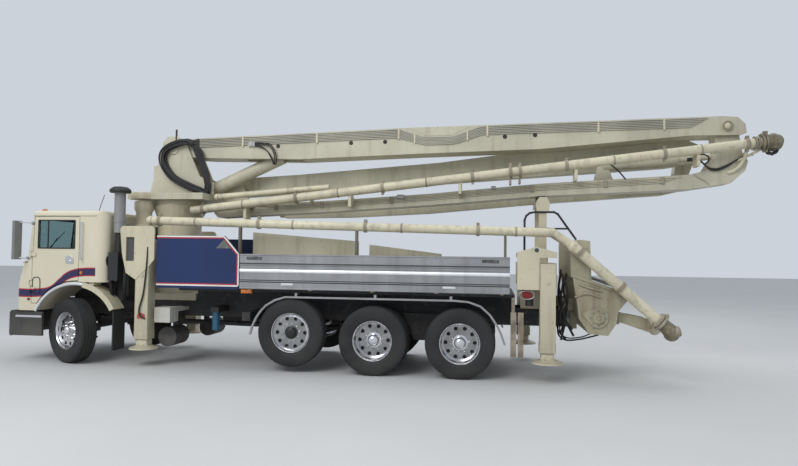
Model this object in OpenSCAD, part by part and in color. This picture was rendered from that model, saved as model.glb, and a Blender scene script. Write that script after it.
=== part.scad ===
// Truck-mounted concrete pump with a four-section folding boom, stowed for the road.
// X runs from the cab (-) to the hopper (+), -Y is the truck's left, Z is up from the ground.

/* [Wheels] */
// Radius of every tyre
tyre_r = 550; // [520:5:560]
// Width of a single tyre
tyre_w = 300; // [280:5:310]
// Width of each tyre of a twin wheel
twin_tyre_w = 275; // [260:5:280]
// Gap between the tyres of a twin wheel
twin_gap = 55; // [40:5:60]
// Radius of the rim flange
rim_r = 318; // [300:2:330]
// Hand holes in each wheel disc
hand_holes = 10; // [8:1:12]
// Radius of a hand hole
hand_hole_r = 31; // [24:1:34]
// Width over the outer tyre walls
track_w = 2470; // [2440:5:2480]

/* [Axles] */
// Front axle, from the middle of the truck
front_axle_x = -5110; // [-5130:5:-5090]
// Lifting axle ahead of the bogie
lift_axle_x = -1265; // [-1290:5:-1240]
// First driven axle
drive_axle_x = 80; // [60:5:90]
// Spacing of the driven axles
drive_pitch = 1380; // [1360:5:1390]
// How far the lifting axle is held off the road
lift_raise = 90; // [0:5:110]
// Angle by which the front wheels are turned to the right
steer_rest = 25; // [0:1:35]
// Distance of the kingpins from the middle
kingpin_y = 835; // [820:5:840]

/* [Frame] */
// Top of the frame rails
frame_top = 1060; // [1040:5:1070]
// Height of the frame rails
rail_h = 270; // [250:5:280]
// Outer width of the frame
frame_w = 860; // [840:5:870]
// Flange width of a rail
rail_flange = 80; // [70:5:90]
// Thickness of a rail
rail_t = 12; // [10:1:16]

/* [Cab] */
// Width of the cab
cab_w = 2360; // [2320:10:2400]
// Top of the cab roof
cab_top = 2610; // [2590:5:2630]
// Rear wall of the cab
cab_rear_x = -4570; // [-4590:5:-4550]
// Thickness of the cab walls and doors
cab_wall = 50; // [40:2:60]
// Gap round each door
door_gap = 8; // [6:1:10]
// Radius of the front wheel arch
arch_r = 800; // [780:5:820]

/* [Turret] */
// Slewing axis
slew_x = -3840; // [-3860:5:-3820]
// Top of the slewing ring
ring_top = 2845; // [2840:1:2850]
// Radius of the slewing ring
ring_r = 480; // [440:5:500]
// Height of the boom's root pin
luff_z = 3800; // [3790:5:3810]

/* [Boom] */
// Width of the first boom section
arm_1_w = 480; // [440:5:500]
// Width of the second boom section
arm_2_w = 400; // [360:5:420]
// Width of the third boom section
arm_3_w = 260; // [240:5:280]
// Width of the fourth boom section
arm_4_w = 220; // [200:5:230]
// Sideways gap between folded sections
arm_gap = 60; // [56:1:64]
// Outside radius of the boom's concrete pipe
boom_pipe_r = 76; // [70:1:80]
// Radius of the boom's joint pins
joint_pin_r = 55; // [45:1:60]

/* [Outriggers] */
// Height of an outrigger beam
beam_h = 330; // [310:5:340]
// Width of an outrigger beam
beam_w = 225; // [215:1:230]
// Sleeve width of a jack leg
leg_w = 230; // [220:1:240]
// Radius of a jack's ram
ram_r = 62; // [56:1:66]
// Radius of a ground pad
pad_r = 235; // [220:5:240]
// Height of the pads above the ground
pad_z = 290; // [250:5:320]

/* [Deck] */
// Width over the side boards
deck_w = 2480; // [2460:5:2490]
// Top of the side boards
board_top = 1895; // [1880:5:1910]
// Bottom of the side boards
board_bottom = 1335; // [1325:5:1345]
// Radius of the delivery line on the deck
deck_pipe_r = 70; // [64:1:74]

/* [Hopper] */
// Width of the hopper's mouth
hopper_w = 1900; // [1840:10:1910]
// Plate thickness of the hopper
hopper_t = 12; // [10:1:16]
// Radius of the agitator shaft
shaft_r = 38; // [34:1:42]

/* [Hidden] */
$fn = 48;

cream = [0.80, 0.77, 0.64];
steel = [0.55, 0.56, 0.56];
dark = [0.12, 0.12, 0.13];
navy = [0.07, 0.11, 0.30];
fit = 0.4; // running clearance at pins and seats
eps = 1; // overrun of a cut

left = -1;
right = 1;
rail_bottom = frame_top - rail_h;
rail_y = frame_w / 2;
rail_front = -5880;
rail_rear = 3150;

wheel_y = track_w / 2 - tyre_w / 2;
twin_w = 2 * twin_tyre_w + twin_gap;
twin_y = track_w / 2 - twin_w / 2;
hub_r = 118;
spindle_r = 46;
axle_z = tyre_r;
lift_z = tyre_r + lift_raise;

// Extrudes an X-Z outline along Y, centred on y
module along_y(w, y = 0) {
    translate([0, y, 0]) rotate([90, 0, 0]) linear_extrude(w, center = true) children();
}
// A box given by its low and high corners
module block(lo, hi) {
    translate(lo) cube(hi - lo);
}
// A rod from one point to another
module rod(a, b, r) {
    d = b - a;
    len = norm(d);
    translate(a) rotate([0, acos(d.z / len), atan2(d.y, d.x)]) cylinder(r = r, h = len);
}
// A cylinder along Y, centred on y
module pin_y(x, z, r, w, y = 0) {
    translate([x, y, z]) rotate([90, 0, 0]) cylinder(r = r, h = w, center = true);
}
// A pair mirrored to both sides
module both_sides() {
    children();
    mirror([0, 1, 0]) children();
}
function arc(cx, cy, r, a0, a1, n) =
    [for (i = [0:n]) let (a = a0 + (a1 - a0) * i / n) [cx + r * cos(a), cy + r * sin(a)]];

// Tyre and disc in one turned outline: columns are radius and distance from the wheel's middle
module tyre_ring(w) {
    h = w / 2;
    rotate_extrude($fn = 64) polygon([
        [rim_r - 6, -h + 28], [rim_r + 40, -h + 6], [tyre_r - 110, -h], [tyre_r - 40, -h + 12],
        [tyre_r - 8, -h + 38], [tyre_r, -h + 60], [tyre_r, h - 60], [tyre_r - 8, h - 38],
        [tyre_r - 40, h - 12], [tyre_r - 110, h], [rim_r + 40, h - 6], [rim_r - 6, h - 28]
    ]);
}
// Rim barrel with a disc: face is the disc's distance towards the outside (+)
module rim(w, face, cap_r, cap_h) {
    h = w / 2 - 26;
    disc_t = 22;
    difference() {
        union() {
            rotate_extrude($fn = 64) polygon([
                [rim_r, -h], [rim_r - 6, -h], [rim_r - 22, -h + 16], [rim_r - 34, 0],
                [rim_r - 22, h - 16], [rim_r - 6, h], [rim_r, h]
            ]);
            rotate_extrude($fn = 64) polygon([
                [spindle_r + fit, face - disc_t], [rim_r - 30, face - disc_t - 20],
                [rim_r - 24, face - disc_t], [rim_r - 24, face], [rim_r - 70, face + 12],
                [cap_r + 45, face + 2], [spindle_r + fit, face + 2]
            ]);
            translate([0, 0, face - disc_t - 110]) difference() {
                cylinder(r = hub_r, h = 112);
                translate([0, 0, -eps]) cylinder(r = spindle_r + fit, h = 112 + 2 * eps);
            }
            rotate_extrude() polygon([
                [0, face + 1], [cap_r, face + 1], [cap_r, face + cap_h * 0.6], [cap_r * 0.7, face + cap_h],
                [0, face + cap_h]
            ]);
        }
        for (i = [0:hand_holes - 1]) rotate([0, 0, i * 360 / hand_holes])
            translate([rim_r - 88, 0, face - disc_t - 60]) cylinder(r = hand_hole_r, h = 120, $fn = 24);
    }
}
// A single wheel with its disc outside
module single_wheel() {
    color(dark) tyre_ring(tyre_w);
    color(steel) rim(tyre_w, 60, 78, 60);
}
// A twin wheel: the outer disc lies deep in the outer rim
module twin_wheel() {
    off = (twin_tyre_w + twin_gap) / 2;
    for (s = [-1, 1]) translate([0, 0, s * off]) color(dark) tyre_ring(twin_tyre_w);
    color(steel) {
        translate([0, 0, off]) rim(twin_tyre_w, -70, 92, 120);
        translate([0, 0, -off]) rotate_extrude($fn = 64) polygon([
            [rim_r, -twin_tyre_w / 2 + 26], [rim_r - 6, -twin_tyre_w / 2 + 26], [rim_r - 30, 0],
            [rim_r - 30, off + 70], [rim_r, off + 70]
        ]);
    }
}
// Turns a wheel from +Z out to the given side
module to_side(x, side, y, z) {
    translate([x, side * y, z]) rotate([side * -90, 0, 0]) children();
}
module steered(side) {
    translate([front_axle_x, side * kingpin_y, 0]) rotate([0, 0, -steer_rest])
        translate([-front_axle_x, -side * kingpin_y, 0]) children();
}
module front_wheel(side) {
    steered(side) to_side(front_axle_x, side, wheel_y, axle_z) single_wheel();
}
module lift_wheel(side) {
    to_side(lift_axle_x, side, wheel_y, lift_z) single_wheel();
}
module drive_wheel(i, side) {
    to_side(drive_axle_x + i * drive_pitch, side, twin_y, axle_z) twin_wheel();
}
// Steering knuckle with its spindle
module knuckle(side) {
    color(dark) steered(side) difference() {
        union() {
            translate([front_axle_x, side * kingpin_y, axle_z - 120]) cylinder(r = 48, h = 240);
            to_side(front_axle_x, side, kingpin_y + 30, axle_z)
                cylinder(r = spindle_r, h = wheel_y + 30 - kingpin_y);
            to_side(front_axle_x, side, kingpin_y + 30, axle_z) cylinder(r = 95, h = 30);
            block([front_axle_x + 20, side > 0 ? kingpin_y - 60 : -kingpin_y - 20, axle_z - 140],
                [front_axle_x + 260, side > 0 ? kingpin_y + 20 : -kingpin_y + 60, axle_z - 110]);
        }
        translate([front_axle_x, side * kingpin_y, axle_z - 75]) cylinder(r = 60, h = 150);
        translate([front_axle_x, side * kingpin_y, axle_z - 140]) cylinder(r = 26 + fit, h = 300);
    }
}

// Ladder frame with its cross members
module frame() {
    color(dark) {
        both_sides() difference() {
            block([rail_front, rail_y - rail_flange, rail_bottom], [rail_rear, rail_y, frame_top]);
            block([rail_front - eps, rail_y - rail_flange - eps, rail_bottom + rail_t],
                [rail_rear + eps, rail_y - rail_t, frame_top - rail_t]);
        }
        for (x = [rail_front, -4350, -2600, -600, 1120])
            block([x, -rail_y + rail_t, rail_bottom + 30], [x + 60, rail_y - rail_t, frame_top - 40]);
        both_sides() {
            // Spring hangers and walking beam of the bogie
            along_y(90, rail_y + 45) polygon([
                [drive_axle_x + 380, rail_bottom + 160], [drive_axle_x + 1000, rail_bottom + 160],
                [drive_axle_x + 800, 500], [drive_axle_x + 580, 500]
            ]);
            along_y(80, rail_y + 40) polygon([
                [drive_axle_x - 120, 640], [drive_axle_x + drive_pitch + 120, 640],
                [drive_axle_x + drive_pitch + 120, 690], [drive_axle_x + 690, 610], [drive_axle_x - 120, 690]
            ]);
            // Front leaf springs
            along_y(80, rail_y - 40) polygon([
                [front_axle_x - 700, rail_bottom + 60], [front_axle_x - 640, rail_bottom - 70],
                [front_axle_x, 640],
                [front_axle_x + 640, rail_bottom - 70], [front_axle_x + 700, rail_bottom + 60],
                [front_axle_x + 600, rail_bottom + 60], [front_axle_x + 560, rail_bottom - 20],
                [front_axle_x, 700],
                [front_axle_x - 560, rail_bottom - 20], [front_axle_x - 600, rail_bottom + 60]
            ]);
        }
    }
}

// Front beam, lifting axle and the two driven axles
module axles() {
    color(dark) {
        // Dropped front beam, carrying both kingpins
        difference() {
            union() {
                block([front_axle_x - 45, -kingpin_y, axle_z - 65],
                    [front_axle_x + 45, kingpin_y, axle_z + 65]);
                for (s = [left, right]) translate([front_axle_x, s * kingpin_y, axle_z - 70])
                    cylinder(r = 58, h = 140);
            }
            block([front_axle_x - 60, -rail_y - 60, axle_z - 80],
                [front_axle_x + 60, rail_y + 60, axle_z - 10]);
        }
        for (s = [left, right]) translate([front_axle_x, s * kingpin_y, axle_z - 140])
            cylinder(r = 26, h = 280);
        for (s = [left, right]) let (y = s * (rail_y - 40))
            block([front_axle_x - 60, y - 45, axle_z + 60], [front_axle_x + 60, y + 45, 640 - fit]);
        // Lifting axle: round tube, spindles and air spring seats
        rod([lift_axle_x, -wheel_y + 95, lift_z], [lift_axle_x, wheel_y - 95, lift_z], 70);
        for (s = [left, right]) {
            to_side(lift_axle_x, s, wheel_y - 100, lift_z) cylinder(r = spindle_r, h = 110);
            translate([lift_axle_x, s * (rail_y - 60), lift_z + 55])
                cylinder(r = 60, h = rail_bottom - lift_z - 55);
        }
        // Driven axles with their differential housings
        for (i = [0, 1]) {
            x = drive_axle_x + i * drive_pitch;
            rod([x, -twin_y + 60, axle_z], [x, twin_y - 60, axle_z], 75);
            for (s = [left, right]) to_side(x, s, twin_y - 70, axle_z) cylinder(r = spindle_r, h = 105);
            translate([x, 0, axle_z]) rotate([90, 0, 0]) rotate_extrude() polygon([
                [0, -170], [110, -160], [200, -60], [210, 0], [200, 60], [110, 160], [0, 170]
            ]);
            for (s = [left, right]) let (y = s * (rail_y + 40))
                block([x - 60, y - 40, axle_z + 60], [x + 60, y + 40, 640 - fit]);
        }
        rod([front_axle_x + 240, 0, 660], [drive_axle_x, 0, axle_z + 40], 45);
        rod([drive_axle_x, 0, axle_z], [drive_axle_x + drive_pitch, 0, axle_z], 45);
    }
}

// Engine and gearbox as one plain mass under the cab
module engine() {
    color(dark) block([-5700, -rail_y + rail_flange + fit, 860], [-4420, rail_y - rail_flange - fit, 1720]);
}

cover_front = -5738;
cover_w = 820;
module engine_bay() {
    block([-5725, -375, 800], [-4300, 375, 1765]);
}
// Outline of the cab seen from its left: X and Z of the outer skin
cab_front_low = -6225;
cab_front_sill = -6060;
cab_front_top = -5965;
cab_bottom = 880;
cab_floor = axle_z + arch_r + 35;
module cab_outline(inset = 0) {
    i = inset;
    polygon(concat(
        [
            [cab_rear_x - i, cab_floor + i], [cab_rear_x - i, cab_top - 70 - i],
            [cab_rear_x - 25 - i, cab_top - 25 - i],
            [cab_rear_x - 90 - i, cab_top - i], [cab_front_top + 110 + i, cab_top - i],
            [cab_front_top + 35 + i, cab_top - 22 - i],
            [cab_front_top + i, cab_top - 75 - i],
            [cab_front_sill + i, 1740 + i], [cab_front_low + 90 + i, 1690 - i], [cab_front_low + i, 1330],
            [cab_front_low + i, cab_bottom + i]
        ],
        [[front_axle_x - (arch_r + i) * cos(24), cab_bottom + i]],
        arc(front_axle_x, axle_z, arch_r + i, 155, 92, 12),
        [[front_axle_x + 60, cab_floor + i]]
    ));
}
door_x0 = -5900;
door_x1 = -5060;
door_low = 1010;
door_top = 2500;
door_sill_r = arch_r + 60;
module door_outline(grow = 0) {
    g = grow;
    polygon(concat(
        [
            [door_x1 + g, door_top + g], [door_x0 - g, door_top + g], [door_x0 - g - 30, 1740],
            [door_x0 - g - 30, door_low - g],
            [front_axle_x - door_sill_r * cos(32) + 2.5 * g, door_low - g]
        ],
        arc(front_axle_x, axle_z, door_sill_r - 2.5 * g, 146, 90, 8),
        [[door_x1 + g, axle_z + door_sill_r - 2.5 * g]]
    ));
}
window_low = 1960;
module window_outline() {
    polygon([
        [door_x0 + 70, window_low], [door_x0 + 70, door_top - 60], [door_x1 - 80, door_top - 60],
        [door_x1 - 80, window_low]
    ]);
}
hinge_x = door_x0 - 52;
hinge_y = cab_w / 2 + 24;
hinge_z = [1250, 1850];
hinge_pin_r = 9;
// Windscreen halves and rear window
screen_w = cab_w / 2 - 180;
screen_h = 640;
screen_low = 1830;
screen_y = screen_w / 2 + 45;
rear_pane_w = 1240;
// The rear roundings bite this far into the sides, clear of where the roof's edge runs out
rear_bite = 1;
// What is cut off a straight edge of length len to round it: the edge is the origin's Z line
module edge_cut(r, len, bite = 0) {
    translate([bite - r, bite - r, 0]) difference() {
        translate([0, 0, -eps]) cube([r + 20, r + 20, len + 2 * eps]);
        translate([0, 0, -2 * eps]) cylinder(r = r, h = len + 4 * eps);
    }
}
pillar_tilt = atan2(cab_front_top - cab_front_sill, cab_top - 50 - 1740);
module cab_roundings() {
    both_sides() {
        translate([cab_rear_x, cab_w / 2, cab_floor]) edge_cut(170, cab_top - cab_floor, rear_bite);
        translate([cab_front_low, cab_w / 2, cab_bottom]) mirror([1, 0, 0]) edge_cut(90, 1330 - cab_bottom);
        translate([cab_front_low, cab_w / 2, 1330]) rotate([0, 14, 0]) mirror([1, 0, 0]) edge_cut(90, 380);
        translate([cab_front_sill, cab_w / 2, 1700]) rotate([0, pillar_tilt, 0]) mirror([1, 0, 0])
            edge_cut(66, cab_top - 1700);
        translate([cab_front_low, cab_w / 2, cab_top]) rotate([90, 0, 90])
            edge_cut(60, cab_rear_x - cab_front_low);
    }
}
// Room inside the cab, with its corners cut off in plan
module cab_room() {
    side = cab_w / 2;
    intersection() {
        along_y(cab_w - 2 * cab_wall) cab_outline(cab_wall);
        translate([0, 0, cab_bottom]) linear_extrude(cab_top - cab_bottom) polygon([
            [cab_front_low, -side + 180], [cab_front_low + 120, -side], [cab_rear_x - 200, -side],
            [cab_rear_x - 20, -side + 200],
            [cab_rear_x - 20, side - 200], [cab_rear_x - 200, side], [cab_front_low + 120, side],
            [cab_front_low, side - 180]
        ]);
    }
}
module cab_shell() {
    color(cream) difference() {
        union() {
            difference() {
                along_y(cab_w) cab_outline();
                cab_room();
                cab_roundings();
                // Grip recess ahead of each door's lower edge
                both_sides() translate([-5990, cab_w / 2 - 18, 1210]) cube([55, 20, 190]);
                // Door openings, windscreen halves and rear window
                along_y(cab_w + 2) door_outline(door_gap);
                for (s = [left, right])
                    translate([cab_front_top - 400, s * screen_y - screen_w / 2, screen_low])
                    cube([700, screen_w, screen_h]);
                block([cab_rear_x - 200, -rear_pane_w / 2, 1900], [cab_rear_x + 10, rear_pane_w / 2, 2400]);
                // Engine tunnel
                engine_bay();
            }
            // Engine cover inside the cab
            difference() {
                block([cover_front, -cover_w / 2, cab_floor], [cab_rear_x - cab_wall, cover_w / 2, 1800]);
                engine_bay();
            }
            // Gutter round the roof
            both_sides() block([cab_front_top + 30, cab_w / 2 - 2, cab_top - 88],
                [cab_rear_x - 175, cab_w / 2 + 16, cab_top - 70]);
            for (s = [left, right], z = hinge_z)
                translate([hinge_x, s * hinge_y, z - 60]) {
                    cylinder(r = hinge_pin_r, h = 120);
                    for (up = [0, 94]) translate([-30, s > 0 ? -25 : 0, up]) cube([36, 25, 26]);
                }
        }
        // Axle and frame passage below the floor
        block([-6400, -rail_y - 30, 700], [-4300, rail_y + 30, frame_top + 20]);
    }
}
// Windscreen halves, side windows in the doors and the rear window are set in their frames
module cab_glass() {
    color([0.35, 0.55, 0.55, 0.5]) {
        for (s = [left, right]) intersection() {
            along_y(cab_w) difference() {
                cab_outline(15);
                cab_outline(23);
            }
            translate([cab_front_top - 400, s * screen_y - screen_w / 2 + fit, screen_low + fit])
                cube([420, screen_w - 2 * fit, screen_h - 2 * fit]);
        }
        block([cab_rear_x - 30, -rear_pane_w / 2 + fit, 1900 + fit],
            [cab_rear_x - 22, rear_pane_w / 2 - fit, 2400 - fit]);
    }
}
floor_low = cab_floor + cab_wall + fit;
floor_top = floor_low + 30;
seat_y = 760;
module cab_interior() {
    color(dark) {
        // Two seats, each a base, cushion and back
        for (s = [left, right]) translate([0, s * seat_y, 0]) {
            block([-5330, -150, floor_top], [-4930, 150, 1600]);
            block([-5400, -240, 1600], [-4880, 240, 1720]);
            along_y(460) polygon([[-4960, 1680], [-4860, 1700], [-4730, 2250], [-4820, 2270]]);
        }
        // Dash with its column and wheel on the left
        along_y(cab_w - 2 * cab_wall - 20) polygon([
            [-6000, 1500], [cover_front - fit, 1560], [cover_front - fit, 1700], [-5850, 1790], [-5990, 1760]
        ]);
        rod([-5800, -seat_y, 1600], [-5620, -seat_y, 1790], 30);
        translate([-5610, -seat_y, 1800]) rotate([0, -42, 0]) {
            rotate_extrude() translate([215, 0]) circle(r = 17, $fn = 16);
            for (a = [0:120:240]) rotate([0, 0, a]) block([0, -14, -8], [215, 14, 8]);
            translate([0, 0, -30]) cylinder(r = 48, h = 40);
        }
        // Floor, on both sides of the engine cover
        both_sides() block([-5740, cover_w / 2 + fit, floor_low],
            [cab_rear_x - 205, cab_w / 2 - cab_wall - fit, floor_top]);
    }
}
// Mirrors, grab rails and steps
mirror_x = -6105;
mirror_y = cab_w / 2 + 160;
module cab_trim() {
    color(steel) both_sides() {
        block([mirror_x - 25, mirror_y - 75, 1760], [mirror_x + 25, mirror_y + 95, 2420]);
        for (p = [[-6015, 1780], [-5938, 2390]]) {
            rod([mirror_x, mirror_y, p.y + 10], [p.x, cab_w / 2 + 14, p.y], 11);
            block([p.x - 26, cab_w / 2 + fit, p.y - 26], [p.x + 26, cab_w / 2 + 14, p.y + 26]);
        }
        // Grab rail behind the door
        rod([-4990, cab_w / 2 + 55, 1760], [-4990, cab_w / 2 + 55, 2420], 14);
        for (z = [1780, 2400]) rod([-4990, cab_w / 2 + fit, z], [-4990, cab_w / 2 + 55, z], 12);
        // Step below the door
        block([-6190, 900, 560], [-5960, 1140, 600]);
        for (x = [-6170, -5990]) block([x, 1000, 560], [x + 30, 1040, cab_bottom - fit]);
    }
}
bumper_w = cab_w + 40;
bumper_front = -6320;
bumper_back = bumper_front + 50;
tow_pin_r = 32;
module bumper() {
    color(steel) difference() {
        along_y(bumper_w) polygon([
            [bumper_front, 480], [bumper_front, 840], [bumper_front + 30, 880], [-6180, 880], [-6180, 850],
            [bumper_back, 830], [bumper_back, 480], [bumper_front + 30, 440], [bumper_front + 10, 450]
        ]);
        for (s = [left, right]) translate([bumper_front - 10, s * 250, 620]) rotate([0, 90, 0])
            cylinder(r = tow_pin_r, h = 80);
    }
    color(steel) for (s = [left, right]) {
        block([bumper_back - eps, s * (rail_y - 60) - 30, 500],
            [rail_front - fit, s * (rail_y - 60) + 30, 830]);
        // Ends turned back round the corners
        y = s > 0 ? bumper_w / 2 - 50 : -bumper_w / 2;
        block([bumper_back - 10, y, 450], [-5700, y + 50, 860]);
    }
}

// Air cleaner drum on its bracket, and the intake stack
stack_x = -4430;
stack_y = -1000;
stack_r = 92;
drum_y = -760;
module air_cleaner() {
    color(dark) {
        translate([stack_x, drum_y, 1650]) cylinder(r = 130, h = 700);
        for (z = [1700, 2280]) translate([stack_x, drum_y, z]) cylinder(r = 136, h = 30);
        block([stack_x - 90, -870, frame_top + 0.3], [stack_x + 20, -360, frame_top + 90]);
        block([stack_x - 100, -870, 1140], [stack_x + 120, -480, 1651]);
        block([stack_x - 120, -1120, 1420], [stack_x + 60, -869, 1900]);
        translate([stack_x, stack_y, 1899]) cylinder(r = 58, h = 360);
        rod([stack_x, stack_y, 2100], [stack_x, drum_y, 2100], 50);
    }
    color(steel) {
        translate([stack_x, stack_y, 2240]) cylinder(r = stack_r, h = 700);
        translate([stack_x, stack_y, 2425]) cylinder(r = stack_r + 7, h = 40);
    }
    color(dark) translate([stack_x, stack_y, 2930]) rotate_extrude() polygon([
        [0, 0], [165, 0], [180, 25], [170, 60], [120, 100], [0, 115]
    ]);
}

// Front arch trims with the rear quarter, aluminium strips over the bogie, flaps
fender_w = 330;
flap_x = -4388;
// Aluminium strip over the rear wheels: upper and lower edge from front to back
strip_high = [
    [-1955, 600], [-1925, 720], [-1850, 880], [-1775, 990], [-1685, 1085], [-1530, 1175], [-1357, 1228],
    [1383, 1232], [1600, 1215], [1790, 1150], [1935, 1020], [2040, 865], [2110, 720], [2165, 560]
];
strip_low = [
    [-1925, 595], [-1895, 710], [-1822, 865], [-1750, 970], [-1665, 1060], [-1515, 1148], [-1350, 1200],
    [1378, 1204], [1588, 1188], [1770, 1126], [1910, 1003], [2012, 852], [2081, 712], [2135, 555]
];
module fenders() {
    fy = cab_w / 2 - fender_w / 2 + 30;
    color(cream) both_sides() {
        along_y(fender_w, fy) polygon(concat(
            arc(front_axle_x, axle_z, arch_r + 34, 79, 28, 12),
            arc(front_axle_x, axle_z, arch_r, 28, 79, 12)
        ));
        // Turned-down rim and the stay under the cab floor
        along_y(12, cab_w / 2 + 24) polygon(concat(
            arc(front_axle_x, axle_z, arch_r + 34, 79, 28, 12),
            arc(front_axle_x, axle_z, arch_r - 40, 28, 79, 12)
        ));
        block([-4880, fy - 100, axle_z + arch_r - 20], [-4780, fy + 100, cab_floor - fit]);
    }
    color(steel) both_sides() {
        along_y(40, deck_w / 2 - 22)
            polygon(concat(strip_high, [for (i = [len(strip_low) - 1:-1:0]) strip_low[i]]));
        for (x = [-1200, 100, 1300])
            block([x, deck_w / 2 - 140, 1215], [x + 40, deck_w / 2 - 30, deck_low - 0.3]);
    }
    color(dark) both_sides() {
        block([flap_x, 860, 240], [flap_x + 22, 1200, 900]);
        rod([flap_x + 11, rail_y + fit, 860], [flap_x + 11, 1150, 860], 16);
    }
}

board_x0 = -2128;
board_x1 = 2220;
// Folded aluminium side boards of the deck
module side_boards() {
    color(steel) both_sides() {
        y1 = deck_w / 2;
        difference() {
            block([board_x0, y1 - 30, board_bottom], [board_x1, y1, board_top]);
            block([board_x0 - eps, y1 - 12, 1680], [board_x1 + eps, y1 + eps, 1720]);
            block([board_x0 - eps, y1 - 8, 1440], [board_x1 + eps, y1 + eps, 1456]);
        }
        block([board_x0, y1 - 130, board_top - 30], [board_x1, y1 - 30, board_top]);
    }
}
// Painted panels behind the cab, over a closed locker
panel_x0 = -3610;
panel_x1 = -2150;
panel_top = 2195;
module side_panels() {
    color(navy) both_sides() {
        along_y(30, deck_w / 2 - 40) polygon([
            [panel_x0, board_bottom + 25], [panel_x1, board_bottom + 25], [panel_x1, 1900],
            [panel_x1 - 260, panel_top],
            [panel_x0, panel_top]
        ]);
        block([panel_x0 + 20, deck_w / 2 - 420, 1320.3], [panel_x1 - 20, deck_w / 2 - 40, 1890]);
        block([panel_x1 - 21, deck_w / 2 - 70, board_bottom + 25], [board_x0 - fit, deck_w / 2 - 40, 1800]);
    }
}

// Outrigger beam places: columns are node side, beam middle in X, z of beam middle
front_beam_z = 1930;
rear_beam_z = 1625;
front_left_x = -3845;
front_right_x = -4097;
rear_left_x = 2790;
rear_right_x = 2530;
leg_y = 1125;
box_end = leg_y - leg_w / 2 - 10;
beam_clear = 6;
box_h = beam_h + 60;
module beam_slot(x, z) {
    w = beam_w / 2 + beam_clear;
    h = beam_h / 2 + beam_clear;
    block([x - w, -box_end - 400, z - h], [x + w, box_end + 400, z + h]);
}
// Wear pads above and below a beam at both mouths of its box
module beam_pads(x, z) {
    thick = beam_clear + eps - fit;
    for (y = [-box_end, box_end - 80], low = [z - beam_h / 2 - fit - thick, z + beam_h / 2 + fit])
        block([x - 80, y, low], [x + 80, y + 80, low + thick]);
}
// Column under the slewing ring with the front outrigger box
column_r = 390;
gear_place = [-4290, -455];
module pedestal() {
    color(cream) difference() {
        union() {
            block([front_right_x - 145, -box_end, front_beam_z - box_h / 2],
                [front_left_x + 145, box_end, front_beam_z + box_h / 2]);
            translate([slew_x, 0, frame_top]) cylinder(r = column_r, h = ring_top - 75 - frame_top);
            block([slew_x - 560, -rail_y, frame_top + 0.3], [slew_x + 560, rail_y, frame_top + 120]);
            hull() {
                translate([slew_x, 0, ring_top - 90]) cylinder(r = ring_r, h = 15, $fn = 32);
                translate([slew_x, 0, ring_top - 320]) cylinder(r = column_r + 5, h = 15, $fn = 32);
            }
            translate([slew_x, 0, ring_top - 80]) cylinder(r = ring_r - 20, h = 80 - fit);
        }
        for (x = [front_left_x, front_right_x]) beam_slot(x, front_beam_z);
    }
    color(cream) {
        beam_pads(front_left_x, front_beam_z);
        beam_pads(front_right_x, front_beam_z);
        // Slewing gear motor beside the column
        translate([gear_place.x, gear_place.y, front_beam_z + box_h / 2 - eps])
            cylinder(r = 92, h = ring_top - front_beam_z - box_h / 2 - 19);
        translate([gear_place.x, gear_place.y, ring_top - 150]) cylinder(r = 118, h = 110);
    }
}
// Box of the rear outriggers with its end frames and the tail apron
module rear_housing() {
    color(cream) {
        difference() {
            block([rear_right_x - 150, -box_end, rear_beam_z - box_h / 2],
                [rear_left_x + 150, box_end, rear_beam_z + box_h / 2]);
            for (x = [rear_left_x, rear_right_x]) beam_slot(x, rear_beam_z);
        }
        beam_pads(rear_left_x, rear_beam_z);
        beam_pads(rear_right_x, rear_beam_z);
        for (s = [left, right])
            block([rear_right_x - 120, s * 380 - 40, frame_top + 0.3],
                [rear_left_x + 120, s * 380 + 40, rear_beam_z - box_h / 2 + eps]);
    }
}
// Sliding outrigger beam with its jack sleeve outside
beam_len = 2120;
sleeve_low = 580;
piston_r = 90;
module outrigger_beam(x, z, side, head) {
    // The beam's inner and outer end, for the right side
    y_in = box_end - beam_len;
    y_out = box_end + 10;
    plate_y = side * (leg_y + leg_w / 2 - 5);
    shelf_x = side < 0 ? x - leg_w / 2 - 345 : x + leg_w / 2;
    color(cream) difference() {
        union() {
            block([x - beam_w / 2, side < 0 ? -y_out : y_in, z - beam_h / 2],
                [x + beam_w / 2, side < 0 ? -y_in : y_out, z + beam_h / 2]);
            block([x - leg_w / 2, side * leg_y - leg_w / 2, sleeve_low],
                [x + leg_w / 2, side * leg_y + leg_w / 2, z + beam_h / 2 + 20]);
            if (head == "arch") along_y(30, plate_y) translate([x, 0]) scale([-side, 1]) difference() {
                polygon(concat(
                    arc(-340, z + 350, 70, 180, 90, 4), arc(140, z + 350, 70, 90, 0, 4),
                    [[210, z - 140], [115, z - 260], [-115, z - 480], [-290, z - 370], [-370, z - 40]]
                ));
                translate([-300, z - 170]) square([150, 400]);
            }
            if (head == "gable") along_y(30, plate_y) translate([x, z]) scale([-side, 1]) difference() {
                polygon([[-460, -215], [-460, 360], [-170, 443], [135, 360],
                    [135, 275], [-125, 275], [-125, -215]]);
                translate([-170, 390]) circle(r = 28);
            }
            if (head == "gable") block([shelf_x, side * leg_y - 105, z - 215],
                [shelf_x + 345, side * leg_y + 105, z - 195]);
        }
        translate([x, side * leg_y, sleeve_low - eps]) cylinder(r = ram_r + fit, h = 100);
        translate([x, side * leg_y, sleeve_low + 60])
            cylinder(r = piston_r + fit, h = z + beam_h / 2 - 120 - sleeve_low);
    }
}
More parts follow.
